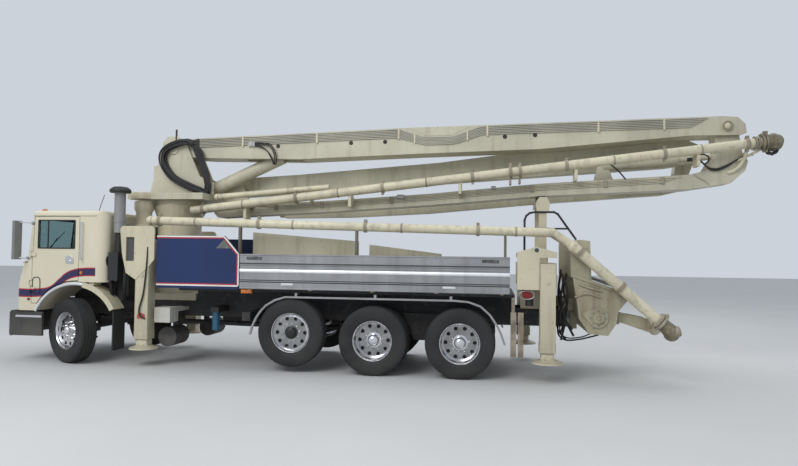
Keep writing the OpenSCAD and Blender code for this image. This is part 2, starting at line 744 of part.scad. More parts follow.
module jack_leg(x, side) {
    color(steel) translate([x, side * leg_y, pad_z + 60]) {
        cylinder(r = ram_r, h = 1640 - pad_z - 60);
        translate([0, 0, 1390 - pad_z - 60]) cylinder(r = piston_r, h = 250);
    }
    color(cream) translate([x, side * leg_y, pad_z]) rotate_extrude() polygon([
        [0, 0], [pad_r - 90, 0], [pad_r, 0], [pad_r, 22], [100, 70], [90, 120], [0, 120]
    ]);
}

// Deck plate with its subframe and the water tank
deck_x0 = -3240;
deck_x1 = 2300;
deck_low = 1280;
deck_top = 1320;
module deck() {
    color(cream) {
        block([deck_x0, -deck_w / 2 + 120, deck_low], [deck_x1, deck_w / 2 - 120, deck_top]);
        for (s = [left, right])
            block([deck_x0, s * 380 - 50, frame_top + 0.3], [deck_x1, s * 380 + 50, deck_low + eps]);
        block([-2000, 120, deck_top - eps], [400, 900, 1900]);
        // Long tapered beams that lie on the deck
        along_y(240, -640) polygon([[-2100, deck_top - eps], [-300, deck_top - eps], [-300, 2140], [-2100, 2275]]);
        along_y(240, -500) polygon([[-100, deck_top - eps], [1100, deck_top - eps], [1100, 1945], [-100, 2085]]);
        both_sides() for (x = [-2000:1020:2200])
            block([x, 900, deck_top - eps], [x + 50, deck_w / 2 - 30.3, deck_top + 60]);
    }
}
// Post of the folded boom with its saddle, and the guard rail beside the pipe
rest_x = 2760;
guard_y = -930;
guard_r = 17;
guard_pts = [
    [2450, rear_beam_z + 195.3], [2450, 2490], [2475, 2560], [2530, 2605], [2610, 2620], [2900, 2620],
    [2960, 2590], [3240, 2190]
];
module boom_rest() {
    color(cream) {
        for (y = [-560, 480]) block([rest_x - 60, y, rear_beam_z + 195.3], [rest_x + 60, y + 100, 2800]);
        block([rest_x - 75, -560, 2780], [rest_x + 75, 900, 2870]);
        for (y = [-590, -430]) along_y(12, y) polygon([
            [rest_x - 90, 2640], [rest_x - 110, 2790], [rest_x - 60, 2890], [rest_x + 60, 2890],
            [rest_x + 110, 2790], [rest_x + 90, 2640]
        ]);
        block([rest_x - 60, -595, 2650], [rest_x + 60, -425, 2790]);
    }
    color(dark) {
        block([rest_x - 70, -240, 2869], [rest_x + 70, 240, 2935]);
        for (i = [0:len(guard_pts) - 2]) let (a = guard_pts[i], b = guard_pts[i + 1])
            rod([a.x, guard_y, a.y], [b.x, guard_y, b.y], guard_r);
        for (i = [1:len(guard_pts) - 2]) translate([guard_pts[i].x, guard_y, guard_pts[i].y])
            sphere(r = guard_r + 3, $fn = 16);
        rod([2450, guard_y, 2360], [3121, guard_y, 2360], guard_r - 3);
    }
}

// Open hopper with a hole on each side for the agitator
hop_x0 = 3250;
hop_axis = [3570, 985];
rim_front = [3180, 1665];
rim_back = [4050, 1350];
rim_tilt = atan2(rim_front.y - rim_back.y, rim_back.x - rim_front.x);
guard_sink = 4; // how far the splash guard's front plate is let into the bowl's wall
guard_top = 2172;
grate_hinge = [rim_front.x + 48, rim_front.y + 44];
grate_w = 1840;
grate_pin_r = 12;
grate_play = 1; // loose pin, stays free with cement on it
module hopper_outline(i = 0) {
    polygon([
        [rim_front.x + i, rim_front.y + i * 3], [hop_x0 + i, 1255], [hop_x0 + 40 + i, 960],
        [hop_x0 + 190 + i / 2, 735 + i],
        [hop_x0 + 470, 715 + i], [hop_x0 + 590 - i, 900], [hop_x0 + 620 - i, 1090],
        [rim_back.x - 60 - i, 1240],
        [rim_back.x - i, rim_back.y + i * 3]
    ]);
}
module hopper() {
    color(cream) {
        difference() {
            along_y(hopper_w) hopper_outline();
            along_y(hopper_w - 2 * hopper_t) hopper_outline(hopper_t);
            pin_y(hop_axis.x, hop_axis.y, shaft_r + fit, hopper_w + 400);
        }
        // Rim flange down both sides
        both_sides() translate([rim_front.x, hopper_w / 2 - eps, rim_front.y]) rotate([0, rim_tilt, 0])
            translate([10, 0, -46]) cube([905, 20, 44]);
        // Teardrop bearing plates
        both_sides() difference() {
            union() {
                pin_y(hop_axis.x, hop_axis.y, 150, 26, hopper_w / 2 + 12);
                pin_y(hop_axis.x, hop_axis.y, 82, 60, hopper_w / 2 + 29);
                along_y(26, hopper_w / 2 + 12) polygon([
                    [hop_axis.x - 255, hop_axis.y + 75], [hop_axis.x - 40, hop_axis.y + 140],
                    [hop_axis.x - 120, hop_axis.y - 90]
                ]);
            }
            pin_y(hop_axis.x, hop_axis.y, shaft_r + fit, 400, hopper_w / 2);
        }
        // Splash guard: front plate and side cheeks
        block([rim_front.x - 20, -hopper_w / 2, rim_front.y - 60],
            [rim_front.x + guard_sink, hopper_w / 2, guard_top]);
        both_sides() along_y(10, hopper_w / 2 - 5) polygon([
            [rim_front.x - eps, 1600], [rim_front.x - eps, guard_top], [3300, guard_top + 18],
            [3450, guard_top],
            [3472, 1520], [3300, 1580]
        ]);
        both_sides() block([rail_rear - 120, rail_y - rail_flange, frame_top + 0.3],
            [hop_x0 + 10, rail_y, 1240]);
        block([hop_x0 - 30, -320, 745], [hop_x0 + 80, 320, 1015]);
        // Arms that carry the swing-out elbow
        for (y = [-760, -440]) along_y(24, y) polygon([[3830, 1070],
            [4340, 980], [4385, 930], [4380, 790], [3840, 930]]);
        block([3860, -760, 880], [3920, -440, 1040]);
    }
    // Grate hinges
    color(dark) both_sides() for (y = [500, 800]) difference() {
        union() {
            block([rim_front.x - 2, y, grate_hinge.y - 20], [grate_hinge.x, y + 20, grate_hinge.y + 20]);
            pin_y(grate_hinge.x, grate_hinge.y, 24, 20, y + 10);
        }
        pin_y(grate_hinge.x, grate_hinge.y, grate_pin_r + grate_play, 100, y);
    }
}
module agitator() {
    color(steel) {
        pin_y(hop_axis.x, hop_axis.y, shaft_r, hopper_w + 100);
        for (k = [0:5]) translate([hop_axis.x, -750 + k * 300, hop_axis.y]) rotate([0, k * 60, 0])
            block([-20, -50, 30], [20, 50, 225]);
    }
}
module hopper_grate() {
    color(dark) {
        translate([grate_hinge.x, 0, grate_hinge.y]) rotate([0, rim_tilt, 0]) {
            for (k = [0:12]) translate([30, -grate_w / 2 + k * (grate_w - 16) / 12, -8]) cube([770, 16, 16]);
            for (x = [30, 400, 780]) translate([x, -grate_w / 2, -11]) cube([26, grate_w, 22]);
        }
        pin_y(grate_hinge.x, grate_hinge.y, grate_pin_r, grate_w - 100);
        for (y = [-640, 0, 640]) translate([grate_hinge.x, y, grate_hinge.y]) rotate([0, rim_tilt, 0])
            translate([0, -20, -11]) cube([40, 40, 22]);
    }
}
// Material cylinders between the hopper and the water box
module pump() {
    color(steel) {
        for (s = [left, right]) rod([1650, s * 170, 880], [hop_x0 - 30 - fit, s * 170, 880], 125);
        block([1250, -340, 790], [1660, 340, 1040]);
    }
}
// Delivery line: along the deck, down past the hopper and back under it to the swing-out elbow
pipe_y = -1080;
pipe_fall = 0.024;
pipe_pts = [
    [-3800, pipe_y, 2450], [2860, pipe_y, 2290], [3180, pipe_y, 2080], [4480, pipe_y, 930],
    [4480, -600, 800], [3946, -600, 980]
];
// Radius of each bend, over the pipe's
bend_extra = [10, 8, 20, 22, 22];
// Radius of each leg, over the pipe's
leg_extra = [0, 0, 12, 12, 6];
function deck_pipe_z(x) = pipe_pts[0].z - (x - pipe_pts[0].x) * pipe_fall;
module deck_pipe() {
    color(cream) {
        for (i = [0:len(leg_extra) - 1]) rod(pipe_pts[i], pipe_pts[i + 1], deck_pipe_r + leg_extra[i]);
        for (i = [0:len(bend_extra) - 1]) translate(pipe_pts[i]) sphere(r = deck_pipe_r + bend_extra[i]);
        for (p = [[-2200, 1890], [-220, deck_top], [2150, deck_top]])
            block([p.x - 20, pipe_y - 29, p.y + 0.3], [p.x + 20, pipe_y + 40, deck_pipe_z(p.x) - 50]);
    }
    // Pipe couplings
    color(dark) for (x = [-3660, -1900, -100, 1700])
        translate([x, pipe_y, deck_pipe_z(x)]) rotate([0, 91.4, 0]) cylinder(r = deck_pipe_r + 18, h = 50);
    color(dark) for (t = [0.06, 0.52, 0.94])
        translate(pipe_pts[2] + t * (pipe_pts[3] - pipe_pts[2])) rotate([0, 131.5, 0])
            cylinder(r = deck_pipe_r + 34, h = 55);
}
module tanks() {
    color(dark) {
        // Air tanks across the frame, one each side, on straps
        both_sides() {
            pin_y(-3500, 480, 165, 460, -760);
            block([-3530, -560, 640], [-3470, -rail_y - fit, 800]);
        }
        // Fuel tank on the right with its straps
        translate([-3200, 800, 800]) rotate([0, 90, 0]) cylinder(r = 280, h = 950);
        for (x = [-3100, -2500]) block([x, rail_y + fit, 800], [x + 60, 540, 900]);
        // Filter and valve group on the left
        translate([-2718, -800, 600]) cylinder(r = 62, h = 300);
        block([-2790, -860, 900], [-2650, -rail_y - fit, 990]);
        block([-2130, -1100, 800], [-1990, -rail_y - fit, 940]);
    }
    color("white") {
        block([-3640, -1180, 740], [-3360, -900, 990]);
        block([-3600, -901, 900], [-3400, -rail_y - fit, 960]);
    }
}
// Two boards on end by the left rear wheel, in a bracket under the deck
plank_y = -deck_w / 2 + 50;
module planks() {
    color([0.5, 0.45, 0.35]) for (i = [0, 1])
        block([2235 + i * 110, plank_y - 45, 380], [2320 + i * 110, plank_y, 1060]);
    color(dark) {
        block([2240, plank_y - eps, 900], [2425, plank_y + 30, 1000]);
        block([2250, plank_y - eps, 980], [2299, plank_y + 110, deck_low - 0.3]);
    }
}
// Oval tail lamps under the rear box
module lamps() {
    for (p = [[2480, left], [2850, right]]) {
        color("red") pin_y(p[0], 1330, 75, 40, p[1] * 1195);
        color(dark) block([p[0] - 60, p[1] * 1038 - 138, 1330], [p[0] + 60, p[1] * 1038 + 138, 1390]);
        color(dark) block([p[0] - 60, p[1] * 945 - 45, 1389],
            [p[0] + 60, p[1] * 945 + 45, rear_beam_z - box_h / 2 - fit]);
    }
}

module door(side) {
    color(cream) difference() {
        union() {
            along_y(cab_wall, side * (cab_w / 2 - cab_wall / 2)) difference() {
                door_outline(0);
                window_outline();
            }
            for (z = hinge_z) translate([hinge_x, side * hinge_y, z - 30]) {
                cylinder(r = 18, h = 60);
                translate([0, side > 0 ? -20 : 2, 0]) cube([door_x0 - hinge_x + 40, 18, 60]);
                translate([door_x0 - hinge_x + 5, side > 0 ? -30 : 2, 0]) cube([35, 28, 60]);
            }
        }
        for (z = hinge_z) translate([hinge_x, side * hinge_y, z - 100])
            cylinder(r = hinge_pin_r + fit, h = 200);
    }
    color([0.35, 0.55, 0.55]) along_y(8, side * (cab_w / 2 - 26)) window_outline();
}

// Turret: slewing platform, two cheek plates, a front web and the cylinder's lower ears
cheek_y = arm_1_w / 2 + 12;
cheek_t = 40;
luff_x = slew_x - 10;
luff_base = [-3190, 3080];
luff_eye = [-1700, 3745];
base_pin_r = 50;
module turret() {
    color(cream) {
        translate([slew_x, 0, ring_top]) cylinder(r = ring_r, h = 30);
        block([slew_x - 710, -590, ring_top + 15], [slew_x + 720, 590, ring_top + 130]);
        difference() {
            for (s = [left, right]) along_y(cheek_t, s * (cheek_y + cheek_t / 2)) polygon([
                [-4300, ring_top + 120], [-4130, 3600], [-4050, 3940], [-3960, 4040], [-3760, 4040],
                [-3600, 3900],
                [-3330, 3300], [-3060, 3180], [-3060, ring_top + 120]
            ]);
            pin_y(luff_x, luff_z, joint_pin_r + fit, 900);
            pin_y(luff_base.x, luff_base.y, base_pin_r + fit, 900);
        }
        pin_y(luff_x, luff_z, joint_pin_r, 2 * (cheek_y + cheek_t));
        pin_y(luff_base.x, luff_base.y, base_pin_r, 2 * (cheek_y + cheek_t));
        block([-4250, -cheek_y, ring_top + 120], [-4190, cheek_y, 3500]);
    }
}
luff_dir = luff_eye - luff_base;
luff_len = norm(luff_dir);
luff_angle = atan2(luff_dir.y, luff_dir.x);
barrel_r = 118;
luff_rod_r = 60;
module on_luff() {
    translate([luff_base.x, 0, luff_base.y]) rotate([0, 90 - luff_angle, 0]) children();
}
module luff_barrel() {
    color(cream) on_luff() difference() {
        union() {
            translate([0, 0, 70]) cylinder(r = barrel_r, h = luff_len - 240);
            rotate([90, 0, 0]) cylinder(r = 90, h = 150, center = true);
        }
        rotate([90, 0, 0]) cylinder(r = base_pin_r + fit, h = 200, center = true);
        translate([0, 0, 150]) cylinder(r = luff_rod_r + fit, h = luff_len);
    }
}
module luff_rod() {
    color("silver") on_luff() {
        translate([0, 0, 160]) cylinder(r = luff_rod_r, h = luff_len - 200);
        translate([0, 0, luff_len]) rotate([90, 0, 0]) cylinder(r = 85, h = 130, center = true);
    }
}

// Boom joints, X and Z
elbow_12 = [5694, 4077];
elbow_23 = [-2860, 3125];
elbow_34 = [5290, 3740];
// A pin of the outer sections starts 10 inside one section and ends 10 past the next
pin_23_w = arm_3_w + arm_gap + 20;
pin_34_w = arm_4_w + arm_gap + 20;
module boom_1() {
    color(cream) difference() {
        union() {
            along_y(arm_1_w) polygon([
                [luff_x + 120, 3990], [-3263, 4009], [339, 4130], [5640, 4236], [5860, 4215], [5975, 4100],
                [5990, 3960],
                [5900, 3925], [5120, 3925], [2729, 3735], [696, 3679], [-1456, 3605], [-3253, 3642],
                [luff_x + 60, 3680]
            ]);
            pin_y(luff_x, luff_z, 190, arm_1_w);
            pin_y(elbow_12.x, elbow_12.y, 95, arm_1_w + 40);
        }
        pin_y(luff_x, luff_z, joint_pin_r + fit, arm_1_w + 100);
        // Slot for the next section's root, and the cylinder's upper seat
        block([5000, -arm_2_w / 2 + 30, 3700], [6200, arm_2_w / 2 - 30, 4400]);
        block([luff_eye.x - 830, -barrel_r - 8, 3500], [luff_eye.x + 250, barrel_r + 8, 3900]);
    }
    color(cream) pin_y(elbow_12.x, elbow_12.y, joint_pin_r, arm_1_w + 20);
}
root_w = arm_2_w - 80;
// Concrete pipe on the second section's left side
line_start = [-3400, -420, 2670];
line_end = [6190, -420, 3775];
line_rise = 0.1151;
module boom_2() {
    color(cream) {
        difference() {
            union() {
                along_y(arm_2_w) polygon([
                    [-3000, 2560], [-1062, 2661], [859, 2787], [2735, 2941.5], [5126, 3052], [5760, 3150],
                    [5980, 3350],
                    [6020, 3500], [5960, 3640], [5560, 3640], [5400, 3360], [5126, 3290], [2734, 3152],
                    [857, 2985], [-1000, 2860],
                    [-2500, 2790], [-3050, 2760], [-3080, 2640]
                ]);
                // Offset ear that carries the third section
                along_y(70, arm_2_w / 2 - 35) polygon([
                    [-2500, 2780], [-2680, 3160], [-2800, 3245], [-2940, 3225], [-3040, 3110], [-3060, 2700],
                    [-2900, 2650], [-2500, 2690]
                ]);
                along_y(root_w) polygon([
                    [5560, 3600], [5960, 3600], [5880, 4077], [5800, 4180], [5694, 4215], [5580, 4180],
                    [5520, 4077]
                ]);
            }
            pin_y(elbow_12.x, elbow_12.y, joint_pin_r + fit, 800);
        }
        pin_y(elbow_23.x, elbow_23.y, joint_pin_r, pin_23_w, arm_2_w / 2 + pin_23_w / 2 - 10);
    }
    color(cream) {
        rod(line_start, line_end, boom_pipe_r);
        translate(line_end) sphere(r = boom_pipe_r + 10);
        rod(line_end, [line_end.x, 0, line_end.z], boom_pipe_r);
        for (k = [0:4]) let (x = -2400 + k * 1900, z = line_start.z + (x - line_start.x) * line_rise)
            block([x - 25, line_start.y - 10, z - 260], [x + 25, -arm_2_w / 2 + eps, z - 60]);
        // Second line, which meets the first from above
        rod([-2985, -285, 2926], [-900, -285, 3095], 52);
        translate([-2985, -285, 2926]) sphere(r = 60);
        block([-1250, -300, 2840], [-1200, -arm_2_w / 2 + eps, 3060]);
        // Fold cylinder on its lug
        along_y(90) polygon([[3640, 3190], [3700, 3480], [3780, 3540], [3860, 3480], [3960, 3210]]);
        rod([3790, 0, 3465], [5000, 0, 3562], 84);
        rod([4990, 0, 3561], [5560, 0, 3610], 48);
    }
    color(dark) for (t = [0.02, 0.2, 0.36, 0.52, 0.68, 0.84, 0.97])
        translate(line_start + t * (line_end - line_start)) rotate([0, 83.4, 0])
            cylinder(r = boom_pipe_r + 17, h = 50);
}
arm_3_y = arm_2_w / 2 + arm_gap + arm_3_w / 2;
module boom_3() {
    color(cream) difference() {
        along_y(arm_3_w, arm_3_y) polygon([
            [-3010, 3040], [-2860, 2965], [-2700, 2980], [1000, 3220], [4900, 3480], [5350, 3560],
            [5460, 3700],
            [5400, 3860], [5250, 3930], [4905, 3970], [2768, 3810], [997, 3592], [-1625, 3390],
            [-2685, 3330], [-2960, 3240]
        ]);
        pin_y(elbow_23.x, elbow_23.y, joint_pin_r + fit, 500, arm_3_y);
    }
    color(cream) pin_y(elbow_34.x, elbow_34.y, joint_pin_r, pin_34_w, arm_3_y + arm_3_w / 2 + pin_34_w / 2 - 10);
}
arm_4_y = arm_3_y + arm_3_w / 2 + arm_gap + arm_4_w / 2;
coupling_r = 66.5;
module boom_4() {
    // Coupling of the end hose at the section's tip
    color(cream) rod([-1990, arm_4_y, 2680], [-2120, arm_4_y, 2680], coupling_r);
    color(cream) difference() {
        along_y(arm_4_w, arm_4_y) polygon([
            [-2000, 2600], [-704, 2620], [776, 2700], [2793, 2880], [4900, 3033], [5230, 3110],
            [5420, 3600], [5440, 3780],
            [5290, 3880], [5140, 3780], [5100, 3400], [4800, 3270], [2793, 3120], [776, 2920], [-2000, 2760]
        ]);
        pin_y(elbow_34.x, elbow_34.y, joint_pin_r + fit, 500, arm_4_y);
    }
}

frame();
axles();
engine();
bumper();
cab_shell();
cab_glass();
cab_interior();
cab_trim();
air_cleaner();
fenders();
side_boards();
side_panels();
pedestal();
rear_housing();
deck();
boom_rest();
hopper();
pump();
deck_pipe();
tanks();
planks();
lamps();
door(left);  // door_left
door(right);  // door_right
knuckle(left);  // knuckle_left
knuckle(right);  // knuckle_right
front_wheel(left);  // wheel_front_left
front_wheel(right);  // wheel_front_right
lift_wheel(left);  // wheel_lift_left
lift_wheel(right);  // wheel_lift_right
drive_wheel(0, left);  // wheel_drive_1_left
drive_wheel(0, right);  // wheel_drive_1_right
drive_wheel(1, left);  // wheel_drive_2_left
drive_wheel(1, right);  // wheel_drive_2_right
agitator();
hopper_grate();
outrigger_beam(front_left_x, front_beam_z, left, "arch");  // beam_front_left
outrigger_beam(front_right_x, front_beam_z, right, "arch");  // beam_front_right
outrigger_beam(rear_left_x, rear_beam_z, left, "gable");  // beam_rear_left
outrigger_beam(rear_right_x, rear_beam_z, right, "gable");  // beam_rear_right
jack_leg(front_left_x, left);  // leg_front_left
jack_leg(front_right_x, right);  // leg_front_right
jack_leg(rear_left_x, left);  // leg_rear_left
jack_leg(rear_right_x, right);  // leg_rear_right
turret();
luff_barrel();
luff_rod();
boom_1();
boom_2();
boom_3();
boom_4();
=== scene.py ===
import math
import bpy
import numpy as np
from mathutils import Matrix


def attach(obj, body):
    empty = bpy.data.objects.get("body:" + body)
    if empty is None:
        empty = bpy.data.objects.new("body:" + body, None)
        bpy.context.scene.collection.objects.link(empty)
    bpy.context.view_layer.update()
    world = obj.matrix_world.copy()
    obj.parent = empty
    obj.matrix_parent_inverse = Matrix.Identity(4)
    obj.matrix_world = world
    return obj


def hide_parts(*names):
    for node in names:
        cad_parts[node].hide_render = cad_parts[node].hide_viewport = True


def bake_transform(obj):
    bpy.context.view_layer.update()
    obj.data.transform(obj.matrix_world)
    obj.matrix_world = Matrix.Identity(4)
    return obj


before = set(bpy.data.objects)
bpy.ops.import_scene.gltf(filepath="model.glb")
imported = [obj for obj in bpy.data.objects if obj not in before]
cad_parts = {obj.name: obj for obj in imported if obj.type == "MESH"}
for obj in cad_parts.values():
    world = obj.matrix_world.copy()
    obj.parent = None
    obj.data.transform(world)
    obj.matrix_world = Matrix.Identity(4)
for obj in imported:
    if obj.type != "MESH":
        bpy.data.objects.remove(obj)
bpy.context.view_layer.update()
bothSides = (("left", -1), ("right", 1))
axisX, axisY, axisZ = np.eye(3)

# Camera where the photograph was taken from, in metres and degrees, its lens and sensor in millimetres
view = {"place": (1.978, -11.073, 1.910), "yaw": -8.579, "pitch": 2.033, "roll": 0.734, "lens": 28.5,
        "sensor": 36, "reach": 200}


def addObject(name, data):
    # An object with this data, unturned at the origin
    obj = bpy.data.objects.new(name, data)
    bpy.context.scene.collection.objects.link(obj)
    return obj


def standing(right, up, back, place):
    # The matrix of an object at place, with its X, Y and Z along right, up and back
    m = np.eye(4)
    m[:3] = np.column_stack([right, up, back, place])
    return Matrix(m.tolist())


def cameraMatrix(v):
    # Yaw turns from +Y towards +X, pitch lifts, and roll turns right and up about the way ahead
    yaw, pitch, roll = (math.radians(v[k]) for k in ("yaw", "pitch", "roll"))
    ahead = np.array([math.sin(yaw) * math.cos(pitch), math.cos(yaw) * math.cos(pitch), math.sin(pitch)])
    across = np.array([math.cos(yaw), -math.sin(yaw), 0.0])
    lift = np.cross(across, ahead)
    right = math.cos(roll) * across + math.sin(roll) * lift
    return standing(right, math.cos(roll) * lift - math.sin(roll) * across, -ahead, v["place"])


camData = bpy.data.cameras.new("camera")
camera = addObject("camera", camData)
camData.lens = view["lens"]
camData.sensor_width = view["sensor"]
camData.clip_end = view["reach"]
camera.matrix_world = cameraMatrix(view)
bpy.context.scene.camera = camera
print("stage: camera")


# Meshes from whole arrays of points; a part is its points and its faces
def gridQuads(rows, cols):
    # Quads between neighbouring rings, each ring closed on itself
    i = np.arange(rows - 1)[:, None]
    j = np.arange(cols)[None, :]
    k = (j + 1) % cols
    return np.stack([i * cols + j, i * cols + k, (i + 1) * cols + k, (i + 1) * cols + j], -1).reshape(-1, 4)


def unit(v):
    # Each vector divided by its length
    return v / np.maximum(np.linalg.norm(v, axis=-1, keepdims=True), 1e-9)


def makePiece(name, parts, body, finishName, angle=35):
    # One mesh from all parts; edges sharper than angle, in degrees, are shaded sharp
    verts, faces, base = [], [], 0
    for v, f in parts:
        verts.append(np.asarray(v, float))
        faces += [[i + base for i in face] for face in f]
        base += len(v)
    mesh = bpy.data.meshes.new(name)
    mesh.from_pydata(np.concatenate(verts).tolist(), [], faces)
    mesh.materials.append(finishes[finishName])
    mesh.polygons.foreach_set("use_smooth", np.ones(len(mesh.polygons), bool))
    mesh.set_sharp_from_angle(angle=math.radians(angle))
    obj = addObject(name, mesh)
    if body:
        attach(obj, body)
    return obj


def smoothPath(points, perSpan=8):
    # A point at t between p1 and p2 follows the cubic through p0, p1, p2 and p3
    p = np.asarray(points, float)
    if len(p) < 3 or perSpan < 2:
        return p
    q = np.concatenate([2 * p[:1] - p[1:2], p, 2 * p[-1:] - p[-2:-1]])
    t = np.arange(perSpan)[None, :, None] / perSpan
    a, b, c, d = (q[k:len(q) - 3 + k][:, None, :] for k in range(4))
    square, cube = 2 * a - 5 * b + 4 * c - d, 3 * b - a - 3 * c + d
    out = 0.5 * (2 * b + (c - a) * t + square * t ** 2 + cube * t ** 3)
    return np.concatenate([out.reshape(-1, p.shape[1]), p[-1:]])


def tube(points, radius, sides=12, perSpan=8):
    # Ring points are path + radius * (cos a * n + sin a * b), with b = tangent x n
    path = smoothPath(points, perSpan)
    tangent = unit(np.gradient(path, axis=0))
    ref = np.eye(3)[np.argmin(np.abs(tangent).mean(0))]
    n = unit(np.cross(ref, tangent))
    b = np.cross(tangent, n)
    a = np.linspace(0, 2 * math.pi, sides, endpoint=False)
    given = np.atleast_1d(radius)
    rad = np.interp(np.linspace(0, 1, len(path)), np.linspace(0, 1, len(given)), given)
    ring = np.cos(a)[None, :, None] * n[:, None] + np.sin(a)[None, :, None] * b[:, None]
    verts = (path[:, None] + rad[:, None, None] * ring).reshape(-1, 3)
    last = (len(path) - 1) * sides
    caps = [list(range(sides))[::-1], list(range(last, last + sides))]
    return verts, gridQuads(len(path), sides).tolist() + caps


def hoseSet(hose):
    # Hose k follows the way, and each of its points is moved by k times that point's step
    way, step = np.array(hose["way"], float), np.array(hose.get("step", (0, 0, 0)), float)
    return [tube(way + k * step, hose["radius"], hose.get("sides", 8), hose.get("perSpan", 7))
            for k in range(hose.get("count", 1))]


def turned(profile, place, axis, sides=32):
    # The profile's columns are distance from the axis and distance along it, in the order of the surface
    prof = np.asarray(profile, float)
    axis = unit(np.asarray(axis, float))
    n = unit(np.cross(axis, np.eye(3)[np.argmin(np.abs(axis))]))
    b = np.cross(axis, n)
    a = np.linspace(0, 2 * math.pi, sides, endpoint=False)
    ring = np.cos(a)[:, None] * n + np.sin(a)[:, None] * b
    verts = np.asarray(place) + prof[:, None, 0:1] * ring[None] + prof[:, None, 1:2] * axis
    last = (len(prof) - 1) * sides
    caps = [list(range(sides))[::-1], list(range(last, last + sides))]
    return verts.reshape(-1, 3), gridQuads(len(prof), sides).tolist() + caps


def disc(place, axis, radius, height, sides=24):
    # A flat round with its outer edge cut off by 15 % of its smaller size
    cut = 0.15 * min(radius, height)
    return turned([[radius, 0], [radius, height - cut], [radius - cut, height]], place, axis, sides)


def coupling(place, axis, inner, outer, rise, half, flat, sides=32):
    # A ring about the axis: from inner to outer radius, and by rise higher between -flat and flat
    top = outer + rise
    return turned([[inner, -half], [outer, -half], [top, -flat], [top, flat], [outer, half], [inner, half]],
                  place, axis, sides)


def circle(place, u, v, radius, count, start=0.0):
    # Points at place + radius * (cos a * u + sin a * v), the first at the angle start
    a = np.linspace(0, 2 * math.pi, count, endpoint=False) + start
    return np.asarray(place) + radius * (np.cos(a)[:, None] * u + np.sin(a)[:, None] * v)


def arc(x, y, z, radius, first, last, count):
    # Points about (x, z) in the plane of y, from one angle to the other, in degrees
    a = np.linspace(math.radians(first), math.radians(last), count)
    return np.stack([x + radius * np.cos(a), np.full(count, y), z + radius * np.sin(a)], 1)


def brick(low, high):
    # A box between two corners
    lo, hi = np.minimum(low, high), np.maximum(low, high)
    k = np.array([[0, 0, 0], [1, 0, 0], [1, 1, 0], [0, 1, 0], [0, 0, 1], [1, 0, 1], [1, 1, 1], [0, 1, 1]])
    faces = [[0, 3, 2, 1], [4, 5, 6, 7], [0, 1, 5, 4], [1, 2, 6, 5], [2, 3, 7, 6], [3, 0, 4, 7]]
    return lo + k * (hi - lo), faces


def prism(outline, column, near, far):
    # The outline, made anticlockwise, is carried from near to far in the coordinate that column names
    o = np.asarray(outline, float)
    area = np.sum(o[:, 0] * np.roll(o[:, 1], -1) - np.roll(o[:, 0], -1) * o[:, 1])
    o = o if area > 0 else o[::-1]
    n = len(o)
    k = np.arange(n)
    verts = np.concatenate([np.insert(o, column, end, axis=1) for end in (near, far)])
    walls = np.stack([k, k + n, (k + 1) % n + n, (k + 1) % n], 1).tolist()
    return verts, walls + [k.tolist(), (k[::-1] + n).tolist()]


def slab(outline, y0, y1):
    # An X-Z outline thickened along Y
    return prism(outline, 1, min(y0, y1), max(y0, y1))


def lengthwise(outline, ends, s):
    # An outline in distance from the middle plane and height, carried along X on side s
    return prism(np.asarray(outline) * (s, 1), 0, max(ends), min(ends))


def upright(x, y, size, low, high, cut):
    # A square post with its four upright edges cut off
    h = size / 2
    corner = np.array([[-h, cut - h], [cut - h, -h]])
    outline = np.concatenate([corner, corner[::-1] * (-1, 1), -corner, corner[::-1] * (1, -1)])
    return prism(outline + (x, y), 2, high, low)


def ribbon(line, width, y0, y1):
    # A strip of constant width along an X-Z line, thickened along Y
    p = np.asarray(line, float)
    t = unit(np.gradient(p, axis=0))
    off = np.stack([-t[:, 1], t[:, 0]], 1) * width / 2
    return slab(np.concatenate([p - off, (p + off)[::-1]]), y0, y1)


def heightAt(table, x):
    # Straight between the table's points, which are X and a height
    return np.interp(x, *np.array(table).T)


# Node materials on Object coordinates
finishes = {}


def feed(node, key, value):
    # Link a socket to the node's input, or set the input to a plain value
    if isinstance(value, bpy.types.NodeSocket):
        node.id_data.links.new(value, node.inputs[key])
    else:
        node.inputs[key].default_value = value


def nodeMaker(tree):
    # The function it gives adds a node of a kind and feeds its inputs, with underscores for spaces
    def make(kind, **inputs):
        node = tree.nodes.new(kind)
        for key, value in inputs.items():
            feed(node, key.replace("_", " "), value)
        return node
    return make


def mathNode(make, operation, a, b=0.0):
    # The operation's result on a and b, which are sockets or numbers
    node = make("ShaderNodeMath")
    node.operation = operation
    feed(node, 0, a)
    feed(node, 1, b)
    return node.outputs[0]


def noiseMask(make, coords, scale, low, high, detail=4.0, stretch=(1, 1, 1)):
    # 0 below low and 1 above high of a noise field
    mapping = make("ShaderNodeMapping", Vector=coords, Scale=stretch)
    noise = make("ShaderNodeTexNoise", Vector=mapping.outputs[0], Scale=scale, Detail=detail)
    return make("ShaderNodeMapRange", Value=noise.outputs[0], From_Min=low, From_Max=high).outputs[0]


def mixed(make, factor, a, b):
    # Colour a where the factor is 0 and colour b where it is 1
    node = make("ShaderNodeMix")
    node.data_type = "RGBA"
    feed(node, 0, factor)
    for k, v in ((6, a), (7, b)):
        feed(node, k, v if isinstance(v, bpy.types.NodeSocket) else (*v, 1))
    return node.outputs[2]


# The cab's stripe: its middle height against X, half its height and its red edge, in metres
stripe = {"from": -6.3, "to": -4.7, "low": 1.0, "high": 1.8, "half": 0.074, "edge": 0.019, "end": -4.74,
          "side": 1.14, "nose": -6.17, "red": (0.42, 0.03, 0.03), "navy": (0.030, 0.022, 0.085),
          "middle": ((-6.3, 1.190), (-5.74, 1.196), (-5.60, 1.225), (-5.42, 1.360), (-5.27, 1.480),
                     (-5.12, 1.535), (-4.94, 1.558), (-4.7, 1.560))}


